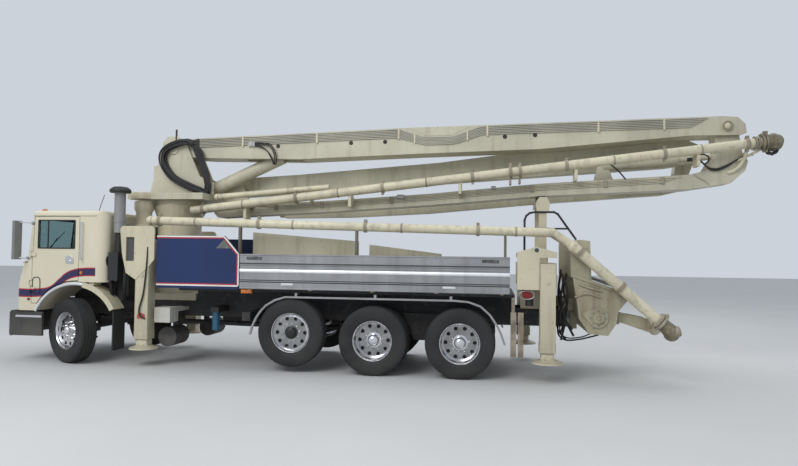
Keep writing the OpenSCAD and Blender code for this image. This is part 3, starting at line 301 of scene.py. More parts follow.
def paintStripe(make, coords, under):
    # The band lies where z is within half of the middle's height, on the cab's sides and nose
    def calc(operation, a, b=0.0):
        return mathNode(make, operation, a, b)
    x, y, z = make("ShaderNodeSeparateXYZ", Vector=coords).outputs
    length, rise = stripe["to"] - stripe["from"], stripe["high"] - stripe["low"]
    curve = make("ShaderNodeFloatCurve", Value=calc("DIVIDE", calc("SUBTRACT", x, stripe["from"]), length))
    points = curve.mapping.curves[0].points
    spots = [((a - stripe["from"]) / length, (b - stripe["low"]) / rise) for a, b in stripe["middle"]]
    points[0].location, points[1].location = spots[0], spots[-1]
    for spot in spots[1:-1]:
        points.new(*spot)
    curve.mapping.update()
    height = calc("DIVIDE", calc("SUBTRACT", z, stripe["low"]), rise)
    off = calc("MULTIPLY", calc("ABSOLUTE", calc("SUBTRACT", height, curve.outputs[0])), rise)
    onSide = calc("GREATER_THAN", calc("ABSOLUTE", y), stripe["side"])
    onCab = calc("MAXIMUM", onSide, calc("LESS_THAN", x, stripe["nose"]))
    shown = calc("MULTIPLY", onCab, calc("LESS_THAN", x, stripe["end"]))
    band = calc("MULTIPLY", calc("LESS_THAN", off, stripe["half"]), shown)
    core = calc("MULTIPLY", calc("LESS_THAN", off, stripe["half"] - stripe["edge"]), shown)
    return mixed(make, core, mixed(make, band, under, stripe["red"]), stripe["navy"])


# Each kind of wear: its noise's scale, low and high, detail and stretch
wear = {"tone": (0.35, 0.65), "splash": (9.0, 0.56, 0.62, 8.0), "chips": (26.0, 0.66, 0.69, 5.0),
        "streak": (5.0, 0.52, 0.75, 6.0, (1.6, 1.6, 0.16)), "low": (3.0, 0.25, 0.6, 6.0)}
grain = {"scale": 60.0, "detail": 3.0, "depth": 0.002}


def finish(name, color, rough=0.5, metal=0.0, tone=0.08, toneScale=1.5,
           splash=0.0, splashColor=(0.45, 0.43, 0.40), streak=0.0, streakColor=(0.16, 0.10, 0.06),
           chips=0.0, chipColor=(0.10, 0.06, 0.04), low=None, lowColor=(0.16, 0.14, 0.12),
           bump=0.0, edge=0.004, glass=False, striped=False):
    # Tone is the share that the colour varies by; low is dirt from its first height, where it is as
    # strong as its third number, up to none at its second; edge is the radius that edges are shaded with
    mat = bpy.data.materials.new(name)
    mat.use_nodes = True
    make = nodeMaker(mat.node_tree)
    shader = mat.node_tree.nodes["Principled BSDF"]
    coords = make("ShaderNodeTexCoord").outputs["Object"]
    light = tuple(min(1, c * (1 + tone)) for c in color)
    dark = tuple(c * (1 - tone) for c in color)
    out = mixed(make, noiseMask(make, coords, toneScale, *wear["tone"]), dark, light)
    for kind, amount, stain in (("splash", splash, splashColor), ("streak", streak, streakColor),
                                ("chips", chips, chipColor)):
        if amount:
            mask = noiseMask(make, coords, *wear[kind])
            out = mixed(make, mathNode(make, "MULTIPLY", mask, amount), out, stain)
    if low:
        height = make("ShaderNodeSeparateXYZ", Vector=coords).outputs[2]
        fade = make("ShaderNodeMapRange", Value=height, From_Min=low[0], From_Max=low[1],
                    To_Min=low[2], To_Max=0.0)
        mask = mathNode(make, "MULTIPLY", fade.outputs[0], noiseMask(make, coords, *wear["low"]))
        out = mixed(make, mask, out, lowColor)
    if striped:
        out = paintStripe(make, coords, out)
    feed(shader, "Base Color", out)
    feed(shader, "Roughness", rough)
    feed(shader, "Metallic", metal)
    if glass:
        feed(shader, "Transmission Weight", 1.0)
        feed(shader, "IOR", 1.1)
    normal = make("ShaderNodeBevel", Radius=edge).outputs[0] if edge else None
    if bump:
        fine = make("ShaderNodeTexNoise", Vector=coords, Scale=grain["scale"], Detail=grain["detail"])
        relief = make("ShaderNodeBump", Height=fine.outputs[0], Strength=bump, Distance=grain["depth"])
        if normal:
            feed(relief, "Normal", normal)
        normal = relief.outputs[0]
    if normal:
        feed(shader, "Normal", normal)
    finishes[name] = mat


# Cream paints
finish("cream", (0.58, 0.53, 0.38), rough=0.42, streak=0.30, chips=0.25, low=(0.2, 1.5, 0.35))
# The turret and boom take the body's cream made darker: painted shade
finish("shadedBoomCream", (0.52, 0.49, 0.37), tone=0.10, streak=0.30, chips=0.3)
finish("pipeCream", (0.62, 0.57, 0.41), rough=0.45, splash=0.45, splashColor=(0.40, 0.36, 0.27), chips=0.3,
       streak=0.3)
# A cream darker than the boom's, for the packed boom lines and the thin pipe: painted shade between the lines
finish("shadedLineCream", (0.40, 0.38, 0.31), rough=0.45, tone=0.12)
finish("elbow", (0.20, 0.17, 0.11), rough=0.6, tone=0.35, toneScale=9.0, splash=0.4,
       splashColor=(0.34, 0.31, 0.24), chips=0.6, chipColor=(0.06, 0.04, 0.03), bump=0.5)
finish("hopperCream", (0.38, 0.35, 0.24), rough=0.7, tone=0.14, splash=0.35,
       splashColor=(0.34, 0.32, 0.25), chips=0.5, streak=0.6, bump=0.4)
finish("cabCream", (0.66, 0.61, 0.46), rough=0.28, tone=0.03, low=(0.8, 1.3, 0.15), striped=True)
finish("clamp", (0.30, 0.26, 0.19), rough=0.6, tone=0.2, splash=0.3, chips=0.6, streak=0.4)
# Other paints
finish("navy", (0.011, 0.027, 0.102), rough=0.25)
finish("red", (0.42, 0.03, 0.03), rough=0.35)
finish("white", (0.75, 0.75, 0.73), rough=0.4)
finish("boxGrey", (0.50, 0.49, 0.43), tone=0.1, streak=0.4, chips=0.4)
finish("chassis", (0.022, 0.022, 0.024), rough=0.65, tone=0.3, splash=0.25, splashColor=(0.12, 0.11, 0.10),
       low=(0.2, 1.1, 0.5))
finish("engine", (0.03, 0.03, 0.032), rough=0.6)
finish("hubBlack", (0.016, 0.016, 0.017), rough=0.35, tone=0.2)
finish("bumper", (0.042, 0.042, 0.038), tone=0.2, chips=0.4, chipColor=(0.25, 0.22, 0.18),
       low=(0.4, 0.9, 0.4))
finish("fadedRed", (0.40, 0.07, 0.06), tone=0.2, chips=0.8, chipColor=(0.50, 0.44, 0.34))
finish("teal", (0.022, 0.10, 0.17), rough=0.4, tone=0.15)
finish("bracket", (0.15, 0.135, 0.10), rough=0.6, tone=0.25, chips=0.5)
finish("shadowLine", (0.07, 0.07, 0.07), rough=0.7)
# Bare metals
finish("aluminium", (0.36, 0.365, 0.37), rough=0.42, metal=0.8, tone=0.10, toneScale=2.5, streak=0.35,
       streakColor=(0.20, 0.19, 0.18))
# Bright metal for the arch trims and latches; on the boards' fold band it is a painted highlight
finish("brightTrimAndHighlight", (0.78, 0.79, 0.80), rough=0.35, metal=0.5, tone=0.06, streak=0.2,
       streakColor=(0.30, 0.29, 0.28))
finish("steelDark", (0.11, 0.11, 0.11), metal=0.6, tone=0.4, toneScale=14.0, chips=0.5,
       chipColor=(0.30, 0.29, 0.28))
finish("mirrorGrey", (0.22, 0.23, 0.23), rough=0.3, metal=0.3)
finish("rimDull", (0.34, 0.34, 0.34), rough=0.30, metal=1.0, tone=0.18, toneScale=6.0, splash=0.25,
       splashColor=(0.22, 0.21, 0.19))
finish("chrome", (0.75, 0.75, 0.76), rough=0.12, metal=1.0, tone=0.02)
finish("alloy", (0.66, 0.66, 0.67), rough=0.22, metal=1.0, tone=0.05)
finish("steel", (0.35, 0.34, 0.33), rough=0.45, metal=0.8, chips=0.3, streak=0.3)
finish("stack", (0.30, 0.30, 0.31), rough=0.45, metal=0.3, tone=0.15, streak=0.3)
# Rubber, glass, lamps and wood
finish("rubber", (0.018, 0.018, 0.018), rough=0.8, tone=0.25, low=(0.0, 1.1, 0.35),
       lowColor=(0.07, 0.065, 0.06), edge=0)
finish("hose", (0.015, 0.015, 0.016), rough=0.55, tone=0.2, edge=0)
finish("greyHose", (0.13, 0.14, 0.13), rough=0.75, tone=0.2, splash=0.4, edge=0)
finish("darkTrim", (0.02, 0.02, 0.02), rough=0.6)
finish("seat", (0.05, 0.05, 0.06), rough=0.85)
finish("glass", (0.42, 0.53, 0.53), rough=0.02, tone=0.0, glass=True, edge=0)
finish("lens", (0.62, 0.64, 0.66), rough=0.08, metal=0.4, tone=0.0)
finish("lampRed", (0.17, 0.008, 0.008), rough=0.2, tone=0.15, toneScale=20.0)
finish("lampAmber", (0.55, 0.17, 0.04), rough=0.2, tone=0.15, toneScale=20.0)
finish("wood", (0.26, 0.22, 0.17), rough=0.85, tone=0.3, toneScale=6.0, streak=0.4)
print("stage: materials")


def paint(obj, *names, rule=None):
    # The rule turns the X, Y and Z of the faces' middles into places in the list of names
    mesh = obj.data
    mesh.materials.clear()
    for n in names:
        mesh.materials.append(finishes[n])
    if rule:
        middles = np.zeros(len(mesh.polygons) * 3)
        mesh.polygons.foreach_get("center", middles)
        mesh.polygons.foreach_set("material_index", rule(*middles.reshape(-1, 3).T).astype(np.int32))


def dress(node, *names, rule=None):
    # The same for a node of the CAD
    paint(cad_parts[node], *names, rule=rule)


def offLine(x, y, z, ends):
    # Distance of each point from the line through both ends
    start, end = np.array(ends)
    t = unit(end - start)
    d = np.stack([x, y, z], 1) - start
    return np.linalg.norm(d - (d @ t)[:, None] * t, axis=1)


plain = {
    "chassis": ("frame", "axles", "knuckle_left", "knuckle_right"), "cream": ("pedestal", "rear_housing"),
    "cabCream": ("cab_shell",), "glass": ("cab_glass",), "seat": ("cab_interior",), "engine": ("engine",),
    "hopperCream": ("hopper", "agitator"), "wood": ("planks",), "bumper": ("bumper",),
    "steel": ("pump", "hopper_grate"), "navy": ("side_panels",), "aluminium": ("side_boards",),
    "chrome": ("luff_rod",),
    "shadedBoomCream": ("turret", "luff_barrel", "boom_1", "boom_3", "boom_4"),
}
for name, nodes in plain.items():
    for node in nodes:
        dress(node, name)
for end in ("front", "rear"):
    for side, s in bothSides:
        dress("beam_%s_%s" % (end, side), "cream")
        dress("leg_%s_%s" % (end, side), "cream", "chrome", rule=lambda x, y, z: z > 0.80)
# Nodes whose faces take more than one finish, told apart by their places
dress("cab_trim", "chrome", "mirrorGrey",
      rule=lambda x, y, z: (abs(y) > 1.255) & (abs(x + 6.105) < 0.03) & (z < 2.43))
dress("boom_rest", "cream", "darkTrim", rule=lambda x, y, z: (y < -0.9) | ((z > 2.871) & (abs(y) < 0.3)))
dress("fenders", "cream", "aluminium", "darkTrim",
      rule=lambda x, y, z: np.select([x > -4.0, (x > -4.4) & (z < 0.91)], [1, 2]))
dress("deck", "cream", "chassis", rule=lambda x, y, z: z < 1.335)
dress("lamps", "lampRed", "chassis", rule=lambda x, y, z: z > 1.3299 + 0.08 * (abs(y) > 1.17))
dress("air_cleaner", "darkTrim", "stack", rule=lambda x, y, z: (z > 2.235) & (z < 2.928) & (y < -0.89))
for side, s in bothSides:
    dress("door_" + side, "cabCream", "glass",
          rule=lambda x, y, z: (y * s < 1.16) & (y * s > 1.14) & (z > 1.97) & (z < 2.43))


def tankPaint(x, y, z):
    # 1 on the grey box beside the air tank, 2 on the upright filter
    box = (x > -3.65) & (x < -3.3) & (y < -0.28) & (z > 0.735) & ((z > 0.9) | (y < -0.895))
    drum = (offLine(x, y, z, ((-2.718, -0.8, 0.6), (-2.718, -0.8, 0.9))) < 0.07) & (z < 0.905)
    return np.select([box, drum], [1, 2])


dress("tanks", "chassis", "boxGrey", "teal", rule=tankPaint)

# The delivery line: its run along the deck, which falls by fall for each metre, and its drop
deckPipe = {"run": ((-3.8, -1.08, 2.45), (2.86, -1.08, 2.29)), "fall": 0.024, "bendFrom": 2.9,
            "drop": ((3.18, -1.08, 2.08), (4.48, -1.08, 0.93)), "postTop": 0.081}


def deckPipeAt(x):
    # Height of the run's middle line
    start = deckPipe["run"][0]
    return start[2] - (x - start[0]) * deckPipe["fall"]


def deckPipePaint(x, y, z):
    # 1 where a coupling stands out from the pipe, 2 on the posts
    onRun = x < deckPipe["bendFrom"]
    offRun, offDrop = (offLine(x, y, z, deckPipe[part]) for part in ("run", "drop"))
    proud = np.where(onRun, offRun > 0.0815, offDrop > 0.0935)
    ring = proud & (z > np.where(onRun, 2.2, 0.97)) & (y < -0.97)
    return np.select([onRun & (z < deckPipeAt(x) - deckPipe["postTop"]), ring], [2, 1])


dress("deck_pipe", "pipeCream", "clamp", "bracket", rule=deckPipePaint)

# The second section's pipe: couplings, rings and double clamps by their share of its length
boomPipe = {"start": np.array([-3.4, -0.42, 2.67]), "end": np.array([6.19, -0.42, 3.775]), "radius": 0.076,
            "couplings": (0.02, 0.2, 0.36, 0.52, 0.68, 0.84, 0.97), "rings": (0.1, 0.28, 0.44, 0.76, 0.9),
            "double": (0.588, 0.604)}


def boomPipePaint(x, y, z):
    # 1 on the pipe and its brackets, 2 on its couplings
    off = offLine(x, y, z, (boomPipe["start"], boomPipe["end"]))
    return np.select([off < 0.0775, (off < 0.1) & (y < -0.31), y < -0.225], [1, 2, 1])


dress("boom_2", "shadedBoomCream", "pipeCream", "clamp", rule=boomPipePaint)
print("stage: frame dressed")

# Tyres with their tread; the wall's points are radius and distance in from the side
tyre = {"around": 360, "lugs": 72, "rings": 38, "radius": 0.55, "crown": 0.006, "shoulderIn": 0.040,
        "grooves": (-0.525, -0.175, 0.175, 0.525), "grooveHalf": 0.0055, "zigzag": 0.008, "depth": 0.013,
        "shoulder": 0.70, "slot": 0.38, "treadFrom": 0.54,
        "wall": ((0.312, 0.030), (0.335, 0.012), (0.365, 0.004), (0.43, 0), (0.475, 0.003), (0.512, 0.012),
                 (0.534, 0.024), (0.5435, 0.034))}


def tyreRing(place, axis, width, around):
    # The radius falls by depth in four zigzag grooves and in the slots of both shoulders
    h = width / 2
    wall = np.array(tyre["wall"]) - (0, h)
    s = np.linspace(tyre["shoulderIn"] - h, h - tyre["shoulderIn"], tyre["rings"])
    crown = tyre["radius"] - tyre["crown"] * (s / (h - tyre["shoulderIn"])) ** 2
    prof = np.concatenate([wall, np.stack([crown, s], 1), wall[::-1] * [1, -1]])
    a = np.linspace(0, 2 * math.pi, around, endpoint=False)
    turn = np.abs((a * tyre["lugs"] / (2 * math.pi)) % 1 - 0.5) * 2
    rad, lateral = prof[:, :1], prof[:, 1:]
    cut = (np.abs(lateral) > tyre["shoulder"] * h) & (turn < tyre["slot"])
    for g in tyre["grooves"]:
        cut |= np.abs(lateral - (g * h + tyre["zigzag"] * (turn - 0.5))) < tyre["grooveHalf"]
    rad = rad - tyre["depth"] * (cut & (rad > tyre["treadFrom"]))
    n = unit(np.cross(axis, axisZ))
    ring = np.cos(a)[:, None] * n + np.sin(a)[:, None] * np.cross(axis, n)
    verts = place + rad[..., None] * ring[None] + lateral[..., None] * axis
    first = np.arange(around)
    last = first + (len(prof) - 1) * around
    inside = np.stack([last, np.roll(last, -1), np.roll(first, -1), first], 1)
    return verts.reshape(-1, 3), gridQuads(len(prof), around).tolist() + inside.tolist()


def rimOf(node, place, axis, reach):
    # The faces of the CAD wheel that lie within reach of its axis
    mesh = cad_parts[node].data
    co = np.zeros(len(mesh.vertices) * 3)
    mesh.vertices.foreach_get("co", co)
    mesh.calc_loop_triangles()
    tri = np.zeros(len(mesh.loop_triangles) * 3, np.int32)
    mesh.loop_triangles.foreach_get("vertices", tri)
    corner = co.reshape(-1, 3)[tri.reshape(-1, 3)]
    middle = corner.mean(1) - place
    dist = np.linalg.norm(middle - (middle @ axis)[:, None] * axis, axis=1)
    off = corner - place
    far = np.linalg.norm(off - (off @ axis)[..., None] * axis, axis=2).max(1)
    kept = corner[(dist < reach) & (far < reach + 0.002)].reshape(-1, 3)
    keys, back = np.unique(np.round(kept, 5), axis=0, return_inverse=True)
    return keys, back.reshape(-1, 3).tolist()


# Axles by X, height and distance of the wheels from the middle; the front wheels stand turned at rest
axles = {"front": -5.11, "lift": -1.265, "drive": (0.08, 1.46), "height": 0.55, "liftHeight": 0.64,
         "kingpin": 0.835, "track": 1.085, "twinTrack": 0.9325, "turn": math.radians(25)}
wheelTable = []
for side, s in bothSides:
    out = np.array([math.sin(axles["turn"]), math.cos(axles["turn"]), 0.0]) * s
    place = np.array([axles["front"], s * axles["kingpin"], axles["height"]])
    place += out * (axles["track"] - axles["kingpin"])
    wheelTable.append(("wheel_front_" + side, place, out, "front"))
    out = np.array([0.0, s, 0])
    place = np.array([axles["lift"], s * axles["track"], axles["liftHeight"]])
    wheelTable.append(("wheel_lift_" + side, place, out, "lift"))
    for i, x in enumerate(axles["drive"]):
        place = np.array([x, s * axles["twinTrack"], axles["height"]])
        wheelTable.append(("wheel_drive_%d_%s" % (i + 1, side), place, out, "drive"))

# Widths, the discs' faces from the wheels' middles, and the parts that stand on the face
wheel = {"width": 0.30, "face": 0.062, "twinWidth": 0.275, "twinFace": 0.097, "twinOffset": 0.165,
         "rimReach": 0.3185, "flat": 0.262, "flatBehind": 0.02, "drum": ((0.255, -0.115), (0.255, -0.048))}
nutRing = {"count": 10, "radius": 0.1425, "start": 0.15,
           "nut": ((0.017, -0.004), (0.017, 0.018), (0.011, 0.034), (0.004, 0.038))}
hubCaps = {"front": ((0.080, -0.002), (0.080, 0.030), (0.0745, 0.052), (0.060, 0.068), (0.035, 0.078),
                     (0.002, 0.081)),
           "lift": ((0.104, -0.004), (0.104, 0.016), (0.084, 0.022), (0.082, 0.050), (0.074, 0.064),
                    (0.050, 0.070), (0.002, 0.071)),
           "drive": ((0.122, -0.004), (0.122, 0.012), (0.097, 0.016), (0.095, 0.074), (0.087, 0.102),
                     (0.0695, 0.124), (0.046, 0.136), (0.022, 0.141), (0.002, 0.142))}


def wheelFlat(place, out, face):
    # True inside the disc's polished edge and behind its face
    def rule(*middles):
        off = np.stack(middles, 1) - place
        near = np.linalg.norm(np.cross(off, out), axis=1) < wheel["flat"]
        return near & (off @ out < face + wheel["flatBehind"])
    return rule


for node, place, out, kind in wheelTable:
    if kind == "drive":
        face = wheel["twinFace"]
        apart = out * wheel["twinOffset"]
        parts = [tyreRing(place + apart, out, wheel["twinWidth"], tyre["around"]),
                 tyreRing(place - apart, out, wheel["twinWidth"], tyre["around"] // 2)]
    else:
        face = wheel["face"]
        parts = [tyreRing(place, out, wheel["width"], tyre["around"])]
    piece = makePiece(node + "_tyre", parts, node, "rubber", angle=30)
    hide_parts(node)
    parts = [rimOf(node, place, out, wheel["rimReach"])]
    piece = makePiece(node + "_rim", parts, node, "alloy", angle=40)
    paint(piece, "alloy", "alloy" if kind == "front" else "rimDull", rule=wheelFlat(place, out, face))
    front = place + out * face
    parts = [turned(hubCaps[kind], front, out, 36)]
    coat = "hubBlack" if kind == "lift" else "chrome"
    makePiece(node + "_hub", parts, node, coat, angle=50)
    # A dark disc inside the wheel, behind its face: painted shade
    makePiece(node + "_drum_shade", [turned(wheel["drum"], front, out, 40)], node, "shadowLine")
    n = unit(np.cross(out, axisZ))
    spots = circle(front, n, np.cross(out, n), nutRing["radius"], nutRing["count"], nutRing["start"])
    nuts = [turned(nutRing["nut"], q, out, 6) for q in spots]
    makePiece(node + "_nuts", nuts, node, "chrome", angle=20)
print("stage: wheels")

# The first boom section: its top edge by X and height, its side face, its elbow's pin and what it carries
arm = {"top": ((-3.263, 4.009), (0.339, 4.130), (5.640, 4.236)), "side": 0.2395, "elbow": (5.694, 4.077),
       "pinFace": 0.260, "plateAt": 1.03,
       "plate": ((0.50, -0.020), (1.56, -0.010), (1.24, -0.150), (0.82, -0.156)),
       "plugs": ((-1.87, 3.843), (-0.531, 3.882), (0.077, 3.893), (2.146, 3.952), (2.647, 3.972)),
       "ring": ((0.052, 0.0), (0.052, 0.020), (0.060, 0.026), (0.074, 0.026), (0.080, 0.018), (0.080, 0.0)),
       "cap": ((0.050, 0.0), (0.050, 0.012), (0.040, 0.020), (0.002, 0.024))}
# Hydraulic lines on both its sides; the right-hand ones lie deeper, because the third section passes them
boomLines = {"count": 6, "pitch": 0.0275, "radius": 0.0115, "from": -3.38, "to": 5.40, "shorter": 0.05,
             "below": 0.024, "points": 110, "wave": 0.0015,
             "dip": ((0.30, 0.0), (0.78, 0.160), (1.28, 0.160), (1.76, 0.0)), "evened": (-0.05, 0, 0.05),
             "clamps": (-2.53, -1.15, 0.32, 1.85, 3.68, 4.72), "dipClamps": (0.60, 1.51),
             "sides": (("left", -1, -0.252, 0.270), ("right", 1, 0.244, 0.257))}
turretCaps = (((-3.85, 3.80), 0.095, 0.022), ((-3.19, 3.08), 0.085, 0.020))
cheekFace = 0.292


def level(x, y, z):
    # Points at each X and Z, all of them at y
    return np.stack([x, np.full(len(x), y), z], 1)


def bolts(spots, axis, radius, height):
    # A six-sided head at each spot
    return [disc(q, axis, radius, height, 6) for q in spots]


def armTop(x):
    # Height of the first section's top edge
    return heightAt(arm["top"], x)


def lineTop(x):
    # The top edge, less the dip in which the lines pass below the plate
    return armTop(x) - heightAt(boomLines["dip"], x)


def boomLine(k, y):
    # Line k lies k times the pitch lower, follows the dip evened out along X, and waves a little
    x = np.linspace(boomLines["from"], boomLines["to"] - boomLines["shorter"] * k, boomLines["points"])
    dip = np.mean([heightAt(boomLines["dip"], x + e) for e in boomLines["evened"]], axis=0)
    z = armTop(x) - boomLines["below"] - k * boomLines["pitch"] - dip * (1 - 0.02 * k)
    return tube(level(x, y, z + boomLines["wave"] * np.sin(9 * x + k)), boomLines["radius"], 8, 1)


for side, s, y, clampFace in boomLines["sides"]:
    out = (0, s, 0)
    lines = [boomLine(k, y) for k in range(boomLines["count"])]
    # The lines take the darker line cream, which is painted shade between them
    makePiece("boom_lines_" + side, lines, "boom_1", "shadedLineCream")
    clamps = []
    for spots, top, half, low, high, face in (
            (boomLines["clamps"], armTop, 0.016, 0.195, 0.004, clampFace),
            (boomLines["dipClamps"], lineTop, 0.014, 0.175, 0.012, clampFace - 0.001)):
        clamps += [brick((x - half, s * arm["side"], top(x) - low), (x + half, s * face, top(x) - high))
                   for x in spots]
    makePiece("boom_clamps_" + side, clamps, "boom_1", "pipeCream")
    plate = slab(np.array(arm["plate"]) + (0, armTop(arm["plateAt"])), s * 0.2393, s * 0.2450)
    makePiece("boom_plate_" + side, [plate], "boom_1", "shadedBoomCream")
    plugs = [disc((x, s * arm["side"], z), out, 0.036, 0.006) for x, z in arm["plugs"]]
    makePiece("boom_plugs_" + side, plugs, "boom_1", "darkTrim")
    elbowX, elbowZ = arm["elbow"]
    pin = (elbowX, s * arm["pinFace"], elbowZ)
    makePiece("elbow_rings_" + side, [turned(arm["ring"], pin, out, 36)], "boom_1", "clamp")
    heads = circle((elbowX, s * 0.277, elbowZ), axisX, axisZ, 0.030, 4)
    caps = [turned(arm["cap"], pin, out, 30)] + bolts(heads, out, 0.006, 0.008)
    makePiece("elbow_caps_" + side, caps, "boom_1", "pipeCream")
    caps = [disc((x, s * cheekFace, z), out, radius, height) for (x, z), radius, height in turretCaps]
    makePiece("turret_caps_" + side, caps, "turret", "shadedBoomCream")

# Black hoses from the turret up to the boom's root, attached to neither body
bundle = {"count": 12, "radius": 0.0165, "spread": 0.052, "depth": -0.325, "layer": 0.034,
          "way": ((-3.13, 2.97), (-3.30, 3.04), (-3.52, 3.125), (-3.80, 3.265), (-3.965, 3.47),
                  (-4.015, 3.66), (-3.93, 3.80), (-3.72, 3.90), (-3.56, 3.925)),
          "endTop": 3.985, "endPitch": 0.0165}
centre = smoothPath(bundle["way"], 6)
tangent = unit(np.gradient(centre, axis=0))


def bundleHose(k):
    # Each hose keeps its own distance from the bundle's middle line, in layers of four, and wanders a little
    t = np.linspace(0, 1, len(centre))
    off = bundle["spread"] * ((k % 4) / 1.5 - 1) * (0.75 + 0.25 * np.sin(5 * t + k))
    depth = bundle["depth"] - bundle["layer"] * (k // 4) - 0.006 * np.sin(7 * t + 2 * k)
    line = np.stack([centre[:, 0] - tangent[:, 1] * off, depth, centre[:, 1] + tangent[:, 0] * off], 1)
    endZ = bundle["endTop"] - bundle["endPitch"] * k
    last = [(-3.47, -0.285, 0.4 * line[-1, 2] + 0.6 * endZ), (-3.37, -0.262, endZ)]
    return tube(np.concatenate([line, last]), bundle["radius"], 9, 1)


piece = makePiece("turret_hoses", [bundleHose(k) for k in range(bundle["count"])], None, "hose")
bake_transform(piece)
feedHoses = {"count": 5, "radius": 0.016, "perSpan": 6,
             "way": ((-3.55, -0.262, 3.93), (-3.45, -0.305, 3.79), (-3.34, -0.33, 3.56),
                     (-3.25, -0.345, 3.36), (-3.19, -0.35, 3.14), (-3.21, -0.35, 2.97)),
             "step": ((0.035, 0, -0.04), (0.035, 0, 0), (0.030, 0, 0), (0.026, 0, 0), (0.024, 0, 0),
                      (0.026, 0, 0))}
piece = makePiece("cylinder_feed_hoses", hoseSet(feedHoses), None, "hose")
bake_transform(piece)
# Hoses from the block on the first section down to the luffing cylinder
outerLoop = {"count": 2, "radius": 0.0105,
             "way": ((-2.31, -0.262, 3.903), (-2.20, -0.280, 3.903), (-2.02, -0.295, 3.878),
                     (-1.925, -0.30, 3.77), (-1.885, -0.29, 3.63), (-1.90, -0.25, 3.525),
                     (-1.97, -0.16, 3.545)),
             "step": ((0, 0, -0.018), (0, 0, -0.02), (-0.01, 0, -0.03), (-0.025, 0, -0.01), (-0.03, 0, 0),
                      (-0.025, 0, 0), (0, 0, 0))}
innerLoop = {"count": 2, "radius": 0.0105,
             "way": ((-2.31, -0.262, 3.866), (-2.19, -0.280, 3.842), (-2.07, -0.29, 3.765),
                     (-1.985, -0.29, 3.66), (-1.945, -0.27, 3.56), (-1.98, -0.18, 3.53)),
             "step": ((0, 0, -0.015), (0, 0, -0.015), (0, 0, 0), (-0.015, 0, 0), (0, 0, -0.02), (0, 0, 0))}
makePiece("luff_hoses", hoseSet(outerLoop) + hoseSet(innerLoop), "boom_1", "hose")
block = [brick((-2.42, -arm["side"], 3.838), (-2.30, -0.276, 3.920)),
         brick((-2.385, -0.276, 3.850), (-2.335, -0.284, 3.908))]
makePiece("hose_block", block, "boom_1", "steel")
# Short post on the near cheek, clear of the lines, and the slewing gear's cover and motor
post = turned([[0.017, 0.0], [0.017, 0.186], [0.011, 0.194]], (-3.803, -0.2825, 3.975), axisZ, 14)
makePiece("turret_post", [post], "turret", "darkTrim")
gear = {"place": (-4.30, -0.455, 0),
        "cover": ((0.238, 2.862), (0.242, 2.868), (0.242, 2.972), (0.232, 2.985), (0.030, 2.990),
                  (0.028, 3.000), (0.002, 3.001)),
        "motor": ((0.140, 2.17), (0.140, 2.34), (0.150, 2.35), (0.150, 2.40), (0.138, 2.41), (0.138, 2.62),
                  (0.168, 2.68), (0.172, 2.78), (0.165, 2.822))}
makePiece("gear_cover", [turned(gear["cover"], gear["place"], axisZ, 40)], "turret", "cream")
makePiece("gear_motor", [turned(gear["motor"], gear["place"], axisZ, 36)], "chassis", "cream")
print("stage: boom lines and hoses")

# Cab: seams, handles, trims and lamps; arcs about the front axle by radius, both angles and points
cab = {"side": 1.18, "window": ((-5.83, 1.96), (-5.14, 1.96), (-5.14, 2.44), (-5.83, 2.44)), "bar": -5.66,
       "handle": ((-5.30, 1.70), (-5.15, 1.70), (-5.15, 1.78), (-5.22, 1.84), (-5.30, 1.82)),
       "lever": ((-5.285, 0.012, 1.75), (-5.27, 0.035, 1.752), (-5.19, 0.035, 1.752), (-5.175, 0.012, 1.75)),
       "trimArc": (0.806, 156, 78, 40), "beadArc": (0.834, 79, 28, 30),
       "grip": ((-5.915, 1.20), (-5.915, 1.40), (-5.89, 1.445), (-5.845, 1.455), (-5.80, 1.445),
                (-5.775, 1.40), (-5.775, 1.20), (-5.80, 1.178), (-5.89, 1.178), (-5.915, 1.20)),
       "headlamps": (0.93, 0.72), "roofLamps": (-0.95, -0.35, 0.0, 0.35, 0.95),
       "screen": ((-6.050, 1.83), (-5.978, 2.47)), "screenEdges": (0.045, 1.045),
       "grille": np.arange(0.98, 1.30, 0.055)}


def rods(starts, ends, radius):
    # A straight rod from each start to its end
    return [tube([a, b], radius, 8, 1) for a, b in zip(starts, ends)]


